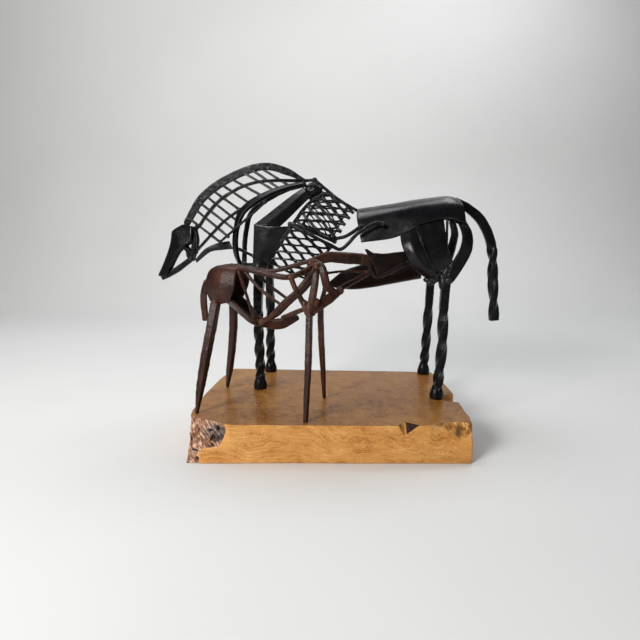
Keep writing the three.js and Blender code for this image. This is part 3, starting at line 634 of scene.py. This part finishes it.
def side_bars(side):
    y = lambda d: d * side
    bars = [
        bar(
            [[48, y(18), 177], [55, y(20), 162], [68, y(19), 139]], 6.6, 6, corner=0.42,
            welds=(1.2, 1.2)
        ),
        bar(
            [
                [78, y(7), 190], [65, y(17), 170], [50, y(19), 154], [35, y(18), 141], [18, y(13), 124],
                [5, y(9), 117]
            ],
            6.8, 6, corner=0.42, welds=(1.1, 1.1)
        ),
        bar(
            [[-18, y(13), 185], [7, y(18), 161], [36, y(18), 141]], 4, 3.6, corner=0.42,
            welds=(1.2, 1.2)
        ),
    ]
    return joined(*(bars if side < 0 else bars[1:]))


BACK_BAR = [
    [-24, -13, 186], [-14, -15, 186], [7, -18, 182], [31, -19, 178], [45, -18, 177], [62, -12, 183],
    [72, -2, 190]
]
FORGED = {"corner": 0.36, "welds": (0.78, 0.78)}
foal = {
    "foal_rump_shell": joined(
        plate(
            [RUMP_SIDE, RUMP_CORNER, RUMP_REAR, mirror(RUMP_CORNER), mirror(RUMP_SIDE)], folded=True,
            step=1.4
        ),
        bar(RUMP_RIDGE, [2.2, 3.2, 2.8, 2.0], 3.4, face=(-0.35, -0.94, 0), corner=0.12, step=1.4),
    ),
    "foal_neck_bar": joined(
        bar(NECK, [11, 14, 15, 14.5, 13], [10, 12, 12.5, 12, 11], corner=0.3, welds=(0.8, 0.7)),
        *[collar(NECK, at, 15.4, 12.9) for at in (0.5, 0.73)],
    ),
    "foal_head": foal_head(),
    "foal_leg_hind_right": foal_leg(
        [[-54, -21, 141], [-57, -29, 112], [-62, -38, 75], [-67, -46, 36], [-71, -53, 0.6]], 11, 3.5
    ),
    "foal_leg_hind_left": foal_leg(
        [[-47, 18, 142], [-53, 28, 104], [-61, 38, 68], [-70, 46, 32], [-78, 53, 0.6]], 9.5, 3.5
    ),
    "foal_leg_fore_right": foal_leg(
        [[72, -18, 138], [73, -25, 104], [74, -32, 70], [74, -39, 35], [74, -45, 0.6]], 7.5, 5
    ),
    "foal_leg_fore_left": foal_leg(
        [[77, 18, 142], [75, 26, 106], [75, 32, 72], [75, 39, 36], [75, 45, 0.6]], 7, 3.5
    ),
    "foal_breast_bar": joined(
        bar(
            [[104, 11, 158], [92, 2, 149], [74, -15, 135]], [9, 13, 11], [9, 11, 10], corner=0.34,
            welds=(0.9, 0.9)
        ),
        bead([72, -18, 138], 7.0, (0.3, 0, 1), 1.5),
        bead([78, -15, 144], 4.6, (0.6, 0, 1), 1.8),
        bead([67, -19, 143], 4.2, (-0.5, 0, 1), 1.8),
    ),
    "foal_back_bar_right": bar(BACK_BAR, [8, 7.5, 7.5, 7.5, 8, 7.5, 7.5], 7, face=UP, **FORGED),
    "foal_back_bar_left": bar(
        [[-23, 12, 185], [6, 14, 181], [27, 14, 184], [45, 13, 190], [66, 11, 196]], 5.5, 5.5, face=UP,
        **FORGED
    ),
    "foal_shoulder_bow": bar(
        [[73, 3, 195], [84, -5, 189], [89, -8, 176], [91, -5, 165], [98, 4, 157]],
        [8.5, 9.5, 10, 9.5, 8.5], 7.5, **FORGED
    ),
    "foal_shoulder_bar_right": bar(
        [[77, -5, 191], [78, -14, 170], [76, -17, 154], [73, -18, 139]], 9.2, 7.5, **FORGED
    ),
    "foal_shoulder_bar_left": bar(
        [[74, 20, 194], [80, 30, 174], [79, 26, 152], [77, 20, 142]], 6, 5, **FORGED
    ),
    "foal_side_bars_right": side_bars(-1),
    "foal_side_bars_left": side_bars(1),
    "foal_throat_bar": bar(
        [[101, 13, 159], [113, 32, 166], [124, 48, 172], [136, 61, 180]], 6.5, 5.5, **FORGED
    ),
    "foal_neck_rod": bar(
        [[86, 16, 180], [105, 36, 181], [130, 55, 179]], 3.2, 3.2, sides=6, welds=(1.2, 1.2)
    ),
    "foal_tail": bar(
        [[-76, -2, 168], [-81, -2, 148], [-80, -2, 113]], [6.5, 9, 8], 4, corner=0.2, welds=(0.5, 0)
    ),
    "foal_flank_rib": bar([[-22, -17, 182], [-13, -17, 155], [-6, -11, 123]], 3.8, 3.6, **FORGED),
    "foal_belly_band": plate([BAND_EDGE, BAND_KEEL, mirror(BAND_EDGE)], step=1.6),
    "foal_belly_bar": bar([[34, -9, 124], [66, -17, 138]], 6, 6, **FORGED),
}


# Base
SLAB_CORNERS = [
    [-167, -116, 0, 34], [-150, -117, 1, 19], [-132, -117, 1, 12], [-112, -117, 0, 3], [-40, -116, 0, 0],
    [40, -117, 0, 0], [92, -117, 0, 0], [134, -117, 0, 1], [150, -117, 0, 8], [172, -117, 0, 9],
    [188, -117, -2, 5], [192, -100, -1, 0], [191, -70, 0, 0], [192, -36, 0, 0], [173, -30, 0, 0],
    [175, -6, 0, 0], [194, -4, 0, 0], [194, 40, -1, 0], [191, 80, -1, 0], [186, 107, 0, 0],
    [110, 112, 0, 0], [20, 117, 0, 0], [-70, 123, 0, 0], [-148, 128, 0, 0], [-160, 70, 0, 0],
    [-168, 0, 1, 0], [-171, -65, 2, 0],
]
BARK_EDGE = (
    [0, 2, 12, 18, 20.5, 25, 30, 41, 46, 50],
    [-150, -150, -151, -144, -126, -120, -118, -115, -116, -118]
)
WANE_EDGE = ([128, 142, 156, 163, 170, 178, 186, 192], [50, 48, 41.5, 36, 32.5, 31.5, 36, 45])


def ease(x):
    x = np.clip(x, 0, 1)
    return x * x * (3 - 2 * x)


def slab():
    """The slab as a wall of rings with its bark pocket, cleft and waney edge.

    It comes with the shares of bark, hollow, void and wane at each point.
    """
    loop = np.array(SLAB_CORNERS + SLAB_CORNERS[:1], float)
    runs = []
    for a, b in zip(loop[:-1], loop[1:]):
        step = 1.1 if max(a[1], b[1]) < -90 or min(a[0], b[0]) > 172 else 2.6
        n = max(2, int(np.hypot(*(b - a)[:2]) / step))
        runs.append(a + (b - a) * np.linspace(0, 1, n, endpoint=False)[:, None])
    ring = np.concatenate(runs)
    for _ in range(2):
        ring = (np.roll(ring, 1, 0) + 2 * ring + np.roll(ring, -1, 0)) / 4
    z = np.r_[0, 0.4, 1.4, np.arange(2.6, 48.2, 1.2), 48.7, 49.6, 50, 50][:, None]
    inset = np.zeros_like(z)
    inset[[0, 1, -3, -2, -1], 0] = [1.3, 0.4, 0.2, 0.6, 1.0]
    x0, y0, dx, dy = (ring[:, k][None] for k in range(4))
    high = np.where(x0 < 0, z / SLAB, np.maximum(0, z / SLAB - 0.5) * 2)
    x, y = x0 + dx * high, y0 + dy * high
    tx, ty = (np.roll(q, -1, 1) - np.roll(q, 1, 1) for q in (x, y))
    length = np.hypot(tx, ty)
    nx, ny = ty / length, -tx / length
    p = np.stack([x, y, z + 0 * x], -1)
    front = ease((-88 - y0) / 8)
    bark = front * ease((np.interp(z, *BARK_EDGE) - x + 1.6 * noise(p, 5, 3)) / 2.2)
    wane = front * ease((z - np.interp(x, *WANE_EDGE) + 1.5 * noise(p, 6, 4)) / 3) * ease((x - 128) / 5)
    near = lambda x1, z1, rx, rz: 1 - np.hypot((x - x1) / rx, (z - z1) / rz)
    slope = np.stack([x * 0.85 + z * 0.53, y * 0.6, (z * 0.85 - x * 0.53) * 0.2], -1)
    fibre = noise(slope, 3.2, 21) + 0.5 * noise(slope, 1.6, 22)
    hollow = bark * ease((near(-130, 38, 17, 13) + 0.35 * noise(p, 5, 8)) / 0.35)
    pits = [
        near(-134, 30, 3.4, 3.0), near(-139, 38, 4.2, 2.2), near(-127, 42, 3.0, 4.0),
        near(-157, 14, 4.5, 1.6), near(-153, 5, 3, 2)
    ]
    pits = bark * ease((np.maximum.reduce(pits) + 0.35 * noise(p, 2.6, 9)) / 0.3)
    cleft = np.minimum(1.18 * (x - 95) + 0.79 * (z - 50), -0.65 * (x - 123) + 0.91 * (z - 50))
    cleft = np.clip(cleft, 0, 13) * front
    flute = noise(p * [1, 1, 0.22], 4.2, 6)
    depth = bark * (1.6 + 1.1 * fibre + 1.0 * noise(p, 11, 2))
    depth = depth + hollow * (1.6 + 0.8 * noise(p, 3, 5)) + 3.2 * pits
    depth = depth + wane * (1.8 + 1.3 * flute + 1.2 * noise(p, 9, 7))
    depth = np.maximum(depth, -0.3) + cleft + 0.35 * noise(p, 22, 12) + 0.12 * noise(p, 5, 13)
    depth = depth * np.clip(z / 3, 0.2, 1) + inset
    v = np.stack([x - nx * depth, y - ny * depth, z + 0 * x], -1)
    void = np.maximum(pits, ease((cleft - 0.2) / 0.8) * ease((x - 105.5) / 1.2))
    void = np.maximum(void, 0.75 * ease((cleft - 0.6) / 1.5) * ease((100.5 - x) / 1.5))
    dark = np.maximum(near(170.5, 44, 4.0, 13), near(147, 48.3, 8, 2.6))
    void = np.maximum(void, wane * ease((dark + 0.7 * flute) / 0.6) * 0.6)
    shares = [bark, hollow, void, wane]
    for share in shares:
        share[-1] = 0
    rings, around = x.shape
    top = np.arange((rings - 1) * around, rings * around)[None]
    under = np.arange(around)[::-1][None]
    faces = [tube_faces(rings, around), top, under]
    return (v.reshape(-1, 3), faces), [share.ravel() for share in shares]


def normals_of(v, faces):
    """Normals at the vertices, weighted by area."""
    n = np.zeros_like(v)
    for f in faces:
        a = np.cross(v[f[:, 1]] - v[f[:, 0]], v[f[:, 2]] - v[f[:, 0]])
        if f.shape[1] == 4:
            a = a + np.cross(v[f[:, 2]] - v[f[:, 0]], v[f[:, 3]] - v[f[:, 0]])
        for k in range(f.shape[1]):
            np.add.at(n, f[:, k], a)
    return unit(n)


def forged(shape, depth, seed):
    """Hammer marks and the slight unevenness of hand work."""
    v, faces = shape
    n = normals_of(v, faces)
    mark = np.clip(dents(v, MARK_SIZE, seed), 0, 0.8) / 0.8 - 0.55
    rough = 0.55 * mark + 0.5 * noise(v, 9, seed + 7) + 0.22 * noise(v, 2.6, seed + 9)
    return v + n * (depth * rough)[:, None], faces


def add_piece(name, shape, animal, material, nodes):
    """Sets a shape in its place as a piece that stands for its node."""
    v, faces = shape
    (ox, oy, oz), turn = PLACES[animal]
    c, s = math.cos(math.radians(turn)), math.sin(math.radians(turn))
    w = np.stack(
        [ox + c * v[:, 0] - s * v[:, 1], oy + s * v[:, 0] + c * v[:, 1], oz + v[:, 2]], -1
    ) / 1000
    mesh = bpy.data.meshes.new(name)
    loops = np.concatenate([f.reshape(-1) for f in faces])
    counts = np.concatenate([np.full(len(f), f.shape[1]) for f in faces])
    mesh.vertices.add(len(w))
    mesh.vertices.foreach_set("co", w.astype(np.float32).ravel())
    mesh.loops.add(len(loops))
    mesh.loops.foreach_set("vertex_index", loops.astype(np.int32))
    mesh.polygons.add(len(counts))
    mesh.polygons.foreach_set("loop_start", np.r_[0, np.cumsum(counts)[:-1]].astype(np.int32))
    mesh.polygons.foreach_set("use_smooth", np.ones(len(counts), bool))
    mesh.update(calc_edges=True)
    mesh.validate()
    mesh.materials.append(material)
    piece = bpy.data.objects.new(name, mesh)
    bpy.context.scene.collection.objects.link(piece)
    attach(piece, "root")
    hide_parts(*nodes)
    return piece


# Materials
def new_material(name):
    """A Principled material, with helpers that add and link its nodes."""
    m = bpy.data.materials.new(name)
    m.use_nodes = True
    tree = m.node_tree
    tree.nodes.clear()
    out = tree.nodes.new("ShaderNodeOutputMaterial")
    shader = tree.nodes.new("ShaderNodeBsdfPrincipled")
    tree.links.new(shader.outputs[0], out.inputs[0])

    def node(kind, values=None, **settings):
        made = tree.nodes.new("ShaderNode" + kind)
        for key, value in settings.items():
            setattr(made, key, value)
        for key, value in (values or {}).items():
            if hasattr(value, "is_linked"):
                tree.links.new(value, made.inputs[key])
            else:
                made.inputs[key].default_value = value
        return made

    return m, shader, node, tree.links.new


def ramp(node, fac, stops):
    made = node("ValToRGB", {0: fac})
    made.color_ramp.interpolation = "EASE"
    e = made.color_ramp.elements
    while len(e) < len(stops):
        e.new(0.5)
    for k, (at, colour) in enumerate(stops):
        e[k].position = at
        e[k].color = (*colour, 1)
    return made.outputs[0]


def grey(x):
    return (x, x, x)


def iron(name, colours, rough, specular, worn_share=1.0, relief=0.45):
    """Forged iron: mottled colour, worn edges and scale."""
    m, shader, node, link = new_material(name)
    place = node("TexCoord").outputs["Object"]
    broad = node(
        "TexNoise", {"Vector": place, "Scale": 45.0, "Detail": 4.0, "Roughness": 0.6}
    ).outputs[0]
    fine = node(
        "TexNoise", {"Vector": place, "Scale": 420.0, "Detail": 5.0, "Roughness": 0.65}
    ).outputs[0]
    scale = node("TexVoronoi", {"Vector": place, "Scale": 260.0}, feature="SMOOTH_F1").outputs[0]
    mixed = node(
        "Math", {0: broad, 1: node("Math", {0: fine, 1: 0.35}, operation="MULTIPLY").outputs[0]},
        operation="ADD"
    ).outputs[0]
    colour = ramp(node, mixed, [(0.45, colours[0]), (0.66, colours[1]), (0.9, colours[2])])
    edge = ramp(
        node, node("NewGeometry").outputs["Pointiness"], [(0.515, grey(0)), (0.6, grey(worn_share))]
    )
    worn = node("MixRGB", {0: edge, 1: colour, 2: (*colours[3], 1)}).outputs[0]
    link(worn, shader.inputs["Base Color"])
    link(
        ramp(node, mixed, [(0.35, grey(rough[0])), (0.95, grey(rough[1]))]), shader.inputs["Roughness"]
    )
    shader.inputs["Specular IOR Level"].default_value = specular
    height = node(
        "Math", {0: fine, 1: node("Math", {0: scale, 1: 0.8}, operation="MULTIPLY").outputs[0]},
        operation="ADD"
    ).outputs[0]
    bump = node("Bump", {"Height": height, "Strength": relief, "Distance": 0.0009}).outputs[0]
    link(bump, shader.inputs["Normal"])
    return m


BLACKS = [
    (0.0026, 0.0026, 0.0032), (0.0046, 0.0043, 0.0052), (0.0100, 0.0072, 0.0070), (0.028, 0.026, 0.027)
]
black_iron = iron("black_iron", BLACKS, (0.14, 0.32), 0.17)
black_sheet = iron("black_sheet_iron", BLACKS, (0.20, 0.34), 0.25, relief=0.16)
RUSTS = [
    (0.010, 0.0036, 0.0023), (0.029, 0.0100, 0.0057), (0.062, 0.0217, 0.0118), (0.145, 0.064, 0.039)
]
DARK_RUSTS = [
    (0.0045, 0.0028, 0.0026), (0.0085, 0.0048, 0.0041), (0.017, 0.0088, 0.0068), (0.040, 0.022, 0.017)
]
rust_iron = iron("rust_iron", RUSTS, (0.25, 0.44), 0.2, 0.6)
dark_rust = iron("dark_rust_iron", DARK_RUSTS, (0.28, 0.48), 0.12)

for k, (name, shape) in enumerate(mare.items()):
    sheet = any(word in name for word in ("plate", "haunch", "blade"))
    depth, material = (SHEET_MARKS, black_sheet) if sheet else (BAR_MARKS, black_iron)
    add_piece(
        name + "_forged", forged(shape, depth, MARE_SEED + k), "mare", material, [name]
    )
for k, (name, shape) in enumerate(foal.items()):
    depth = RUMP_MARKS if name == "foal_rump_shell" else FOAL_MARKS
    material = dark_rust if name == "foal_head" else rust_iron
    add_piece(
        name + "_forged", forged(shape, depth, FOAL_SEED + k), "foal", material, [name]
    )


def burl(name):
    """Oiled burl wood with bark, hollows and a waney edge."""
    m, shader, node, link = new_material(name)
    place = node("TexCoord").outputs["Object"]
    math_node = lambda kind: lambda a, b=0.0: node("Math", {0: a, 1: b}, operation=kind).outputs[0]
    times, plus, sine = math_node("MULTIPLY"), math_node("ADD"), math_node("SINE")
    mix = lambda f, a, b: node("MixRGB", {0: f, 1: a, 2: b}).outputs[0]
    cloud_of = lambda where, scale, detail: node(
        "TexNoise", {"Vector": where, "Scale": scale, "Detail": detail, "Roughness": 0.6}
    ).outputs[0]
    share = lambda label: node("Attribute", attribute_name=label).outputs["Fac"]
    # Lines that flow with the grain, and soft clouds
    x, y, z = node("SeparateXYZ", {0: place}).outputs
    flow = plus(plus(z, times(y, 0.22)), times(x, 0.06))
    flow = plus(flow, times(cloud_of(place, 13.0, 1.5), 0.045))
    feather = ramp(node, cloud_of(place, 10.0, 1.0), [(0.50, grey(0)), (0.62, grey(1))])
    flow = plus(flow, times(cloud_of(place, 55.0, 2.0), plus(0.004, times(feather, 0.022))))
    patchy = cloud_of(place, 30.0, 2.0)
    stream = node("CombineXYZ", {0: times(x, 0.12), 1: times(y, 0.12), 2: flow}).outputs[0]
    lines = times(plus(cloud_of(stream, 430.0, 3.0), -0.5), plus(patchy, 0.4))
    threads = sine(plus(times(flow, 2 * math.pi / 0.0013), times(cloud_of(place, 160.0, 2.0), 7.0)))
    cloud = cloud_of(node("Mapping", {"Vector": place, "Scale": (1, 1, 1.8)}).outputs[0], 26.0, 5.0)
    pores = cloud_of(place, 420.0, 3.0)
    tone = plus(
        plus(times(lines, 0.74), times(threads, 0.012)),
        plus(plus(times(cloud, 0.62), 0.08), times(pores, 0.26))
    )
    wood = ramp(
        node, tone,
        [
            (0.36, (0.38, 0.155, 0.036)), (0.53, (0.555, 0.260, 0.071)), (0.64, (0.63, 0.326, 0.104)),
            (0.80, (0.76, 0.46, 0.19))
        ]
    )
    # Curls and eyes, mostly on top, where the wood is also darkened as painted shade
    curl = node("Math", {0: plus(cloud_of(place, 75.0, 2.5), -0.5)}, operation="ABSOLUTE").outputs[0]
    curl = times(
        ramp(node, curl, [(0.0, grey(1)), (0.024, grey(0))]),
        ramp(node, cloud_of(place, 24.0, 2.0), [(0.49, grey(0)), (0.58, grey(1))])
    )
    spots = node("TexVoronoi", {"Vector": place, "Scale": 58.0}).outputs[0]
    eyes = times(
        ramp(node, spots, [(0.03, grey(1)), (0.10, grey(0))]),
        ramp(node, cloud_of(place, 17.0, 2.0), [(0.54, grey(0)), (0.64, grey(1))])
    )
    up = node("SeparateXYZ", {0: node("NewGeometry").outputs["Normal"]}).outputs[2]
    above = ramp(node, up, [(0.6, grey(0.25)), (0.95, grey(1))])
    wood = mix(times(plus(times(eyes, 0.5), times(curl, 0.9)), above), wood, (0.13, 0.050, 0.016, 1))
    # Painted shade: faces that point up are multiplied darker than the front, for how the light falls on
    # them
    top_painted_shade = node(
        "MixRGB", {0: 1.0, 1: wood, 2: (0.52, 0.47, 0.37, 1)}, blend_type="MULTIPLY"
    ).outputs[0]
    wood = mix(ramp(node, up, [(0.6, grey(0)), (0.95, grey(1))]), wood, top_painted_shade)
    # Paler convex edges: a painted highlight along the lit bevels
    edge_painted_highlight = ramp(node, node("NewGeometry").outputs["Pointiness"], [(0.53, grey(0)), (0.60, grey(1))])
    wood = mix(times(edge_painted_highlight, 0.55), wood, (0.78, 0.52, 0.25, 1))
    # Bark, its hollow, the waney edge and dark voids
    slant = node(
        "Mapping", {"Vector": place, "Rotation": (0, -0.56, 0), "Scale": (1, 1.6, 6.0)},
        vector_type="TEXTURE"
    ).outputs[0]
    fibre = cloud_of(slant, 430.0, 4.0)
    blotch = cloud_of(place, 85.0, 3.0)
    grain = plus(times(fibre, 0.75), times(blotch, 0.4))
    crust = ramp(
        node, grain,
        [
            (0.44, (0.045, 0.020, 0.013)), (0.55, (0.22, 0.108, 0.062)), (0.64, (0.45, 0.265, 0.175)),
            (0.76, (0.82, 0.65, 0.52))
        ]
    )
    ash = ramp(
        node, grain,
        [(0.44, (0.018, 0.014, 0.016)), (0.60, (0.10, 0.074, 0.068)), (0.76, (0.38, 0.31, 0.28))]
    )
    streak = ramp(
        node, plus(times(fibre, 0.6), times(blotch, 0.55)),
        [(0.45, (0.085, 0.036, 0.011)), (0.57, (0.33, 0.145, 0.038)), (0.72, (0.68, 0.40, 0.16))]
    )
    bark, hollow, void, wane = share("bark"), share("hollow"), share("void"), share("wane")
    wood = mix(times(wane, 0.9), wood, streak)
    wood = mix(bark, wood, crust)
    wood = mix(times(hollow, 0.9), wood, ash)
    wood = mix(
        times(void, 0.97), wood,
        ramp(node, fibre, [(0.40, (0.003, 0.002, 0.002)), (0.70, (0.030, 0.018, 0.017))])
    )
    link(wood, shader.inputs["Base Color"])
    # Gloss and pores
    dull = plus(plus(times(tone, 0.3), 0.08), times(plus(plus(bark, void), wane), 0.6))
    link(ramp(node, dull, [(0.2, grey(0.3)), (0.9, grey(0.95))]), shader.inputs["Roughness"])
    shader.inputs["Specular IOR Level"].default_value = 0.15
    shader.inputs["Coat Weight"].default_value = 0.03
    shader.inputs["Coat Roughness"].default_value = 0.2
    rise = plus(times(pores, 0.25), times(plus(bark, wane), times(fibre, 2.5)))
    bump = node("Bump", {"Height": rise, "Strength": 0.4, "Distance": 0.0008}).outputs[0]
    link(bump, shader.inputs["Normal"])
    return m


burl_wood = burl("burl_wood")
block, shares = slab()
base = add_piece("base_slab_burl", block, "base", burl_wood, ["base_slab"])
for label, values in zip(("bark", "hollow", "void", "wane"), shares):
    base.data.attributes.new(label, "FLOAT", "POINT").data.foreach_set(
        "value", values.astype(np.float32)
    )
rounded = [len(p.vertices) < 5 for p in base.data.polygons]
base.data.polygons.foreach_set("use_smooth", rounded)


# Floor, light and camera, in metres
FLOOR_FRONT, FLOOR_BEND, FLOOR_BACK = -1.35, 0.9, 1.5
FLOOR_HALF, WALL_TOP = 1.8, 3.2
FLOOR_COLOUR, FLOOR_ROUGH = (0.67, 0.67, 0.66), 0.7
AMBIENT, BACKDROP = 0.07, 0.62
LENS, SENSOR = 27.0, 36.0
CAMERA_AT, CAMERA_DOWN = (0, -0.6674, 0.2856), 10.735


def plain(name, colour, rough):
    """A plain painted surface."""
    m, shader, node, link = new_material(name)
    place = node("TexCoord").outputs["Object"]
    fac = node("TexNoise", {"Vector": place, "Scale": 3.0, "Detail": 3.0}).outputs[0]
    tone = ramp(node, fac, [(0.3, colour), (0.7, tuple(c * 1.03 for c in colour))])
    link(tone, shader.inputs["Base Color"])
    shader.inputs["Roughness"].default_value = rough
    return m


def sweep():
    """A pale floor that curves up into a wall."""
    bend = FLOOR_BACK - FLOOR_BEND
    turn = np.linspace(0.05, np.pi / 2, 16)
    y = np.r_[FLOOR_FRONT, FLOOR_BEND, FLOOR_BEND + bend * np.sin(turn), FLOOR_BACK]
    z = np.r_[0.0, 0.0, bend - bend * np.cos(turn), WALL_TOP]
    mesh = bpy.data.meshes.new("floor")
    verts = [(x, a, b) for a, b in zip(y, z) for x in (-FLOOR_HALF, FLOOR_HALF)]
    mesh.from_pydata(verts, [], [(2 * i, 2 * i + 1, 2 * i + 3, 2 * i + 2) for i in range(len(y) - 1)])
    mesh.polygons.foreach_set("use_smooth", [True] * len(mesh.polygons))
    mesh.materials.append(plain("pale_floor", FLOOR_COLOUR, FLOOR_ROUGH))
    floor = bpy.data.objects.new("floor", mesh)
    bpy.context.scene.collection.objects.link(floor)


def area(name, at, towards, size, watts, colour=(1, 1, 1)):
    data = bpy.data.lights.new(name, "AREA")
    data.shape = "RECTANGLE"
    data.size, data.size_y = size
    data.energy = watts
    data.color = colour
    lamp = bpy.data.objects.new(name, data)
    bpy.context.scene.collection.objects.link(lamp)
    lamp.location = at
    lamp.rotation_euler = (Vector(towards) - Vector(at)).to_track_quat("-Z", "Y").to_euler()


sweep()
area("window", (-1.1, -1.25, 0.95), (0, 0, 0.15), (0.6, 0.6), 37, (1.0, 0.99, 0.97))
area("fill", (1.3, -1.1, 0.6), (0, 0, 0.2), (0.8, 0.8), 1.4)
area("top", (-0.3, 0.35, 1.5), (0, 0, 0.2), (0.8, 0.5), 7, (0.95, 0.97, 1.0))
area("back", (0.8, 0.9, 1.9), (0, 0, 0.2), (1.0, 1.0), 12, (0.95, 0.97, 1.0))
area("wall", (0, 0.75, 1.5), (0, 1.5, 0.5), (2.4, 0.3), 6.6)
world = bpy.data.worlds.new("studio")
world.use_nodes = True
world.node_tree.nodes["Background"].inputs[0].default_value = (0.9, 0.95, 1.0, 1)
seen = world.node_tree.nodes.new("ShaderNodeLightPath").outputs["Is Camera Ray"]
strength = world.node_tree.nodes.new("ShaderNodeMapRange")
strength.inputs["To Min"].default_value = AMBIENT
strength.inputs["To Max"].default_value = BACKDROP
world.node_tree.links.new(seen, strength.inputs["Value"])
world.node_tree.links.new(strength.outputs["Result"], world.node_tree.nodes["Background"].inputs[1])
bpy.context.scene.world = world

camera = bpy.data.objects.new("camera", bpy.data.cameras.new("camera"))
camera.data.lens = LENS
camera.data.sensor_width = SENSOR
camera.location = CAMERA_AT
camera.rotation_euler = (math.radians(90 - CAMERA_DOWN), 0, 0)
bpy.context.scene.collection.objects.link(camera)
bpy.context.scene.camera = camera
bpy.context.scene.view_settings.view_transform = "Standard"
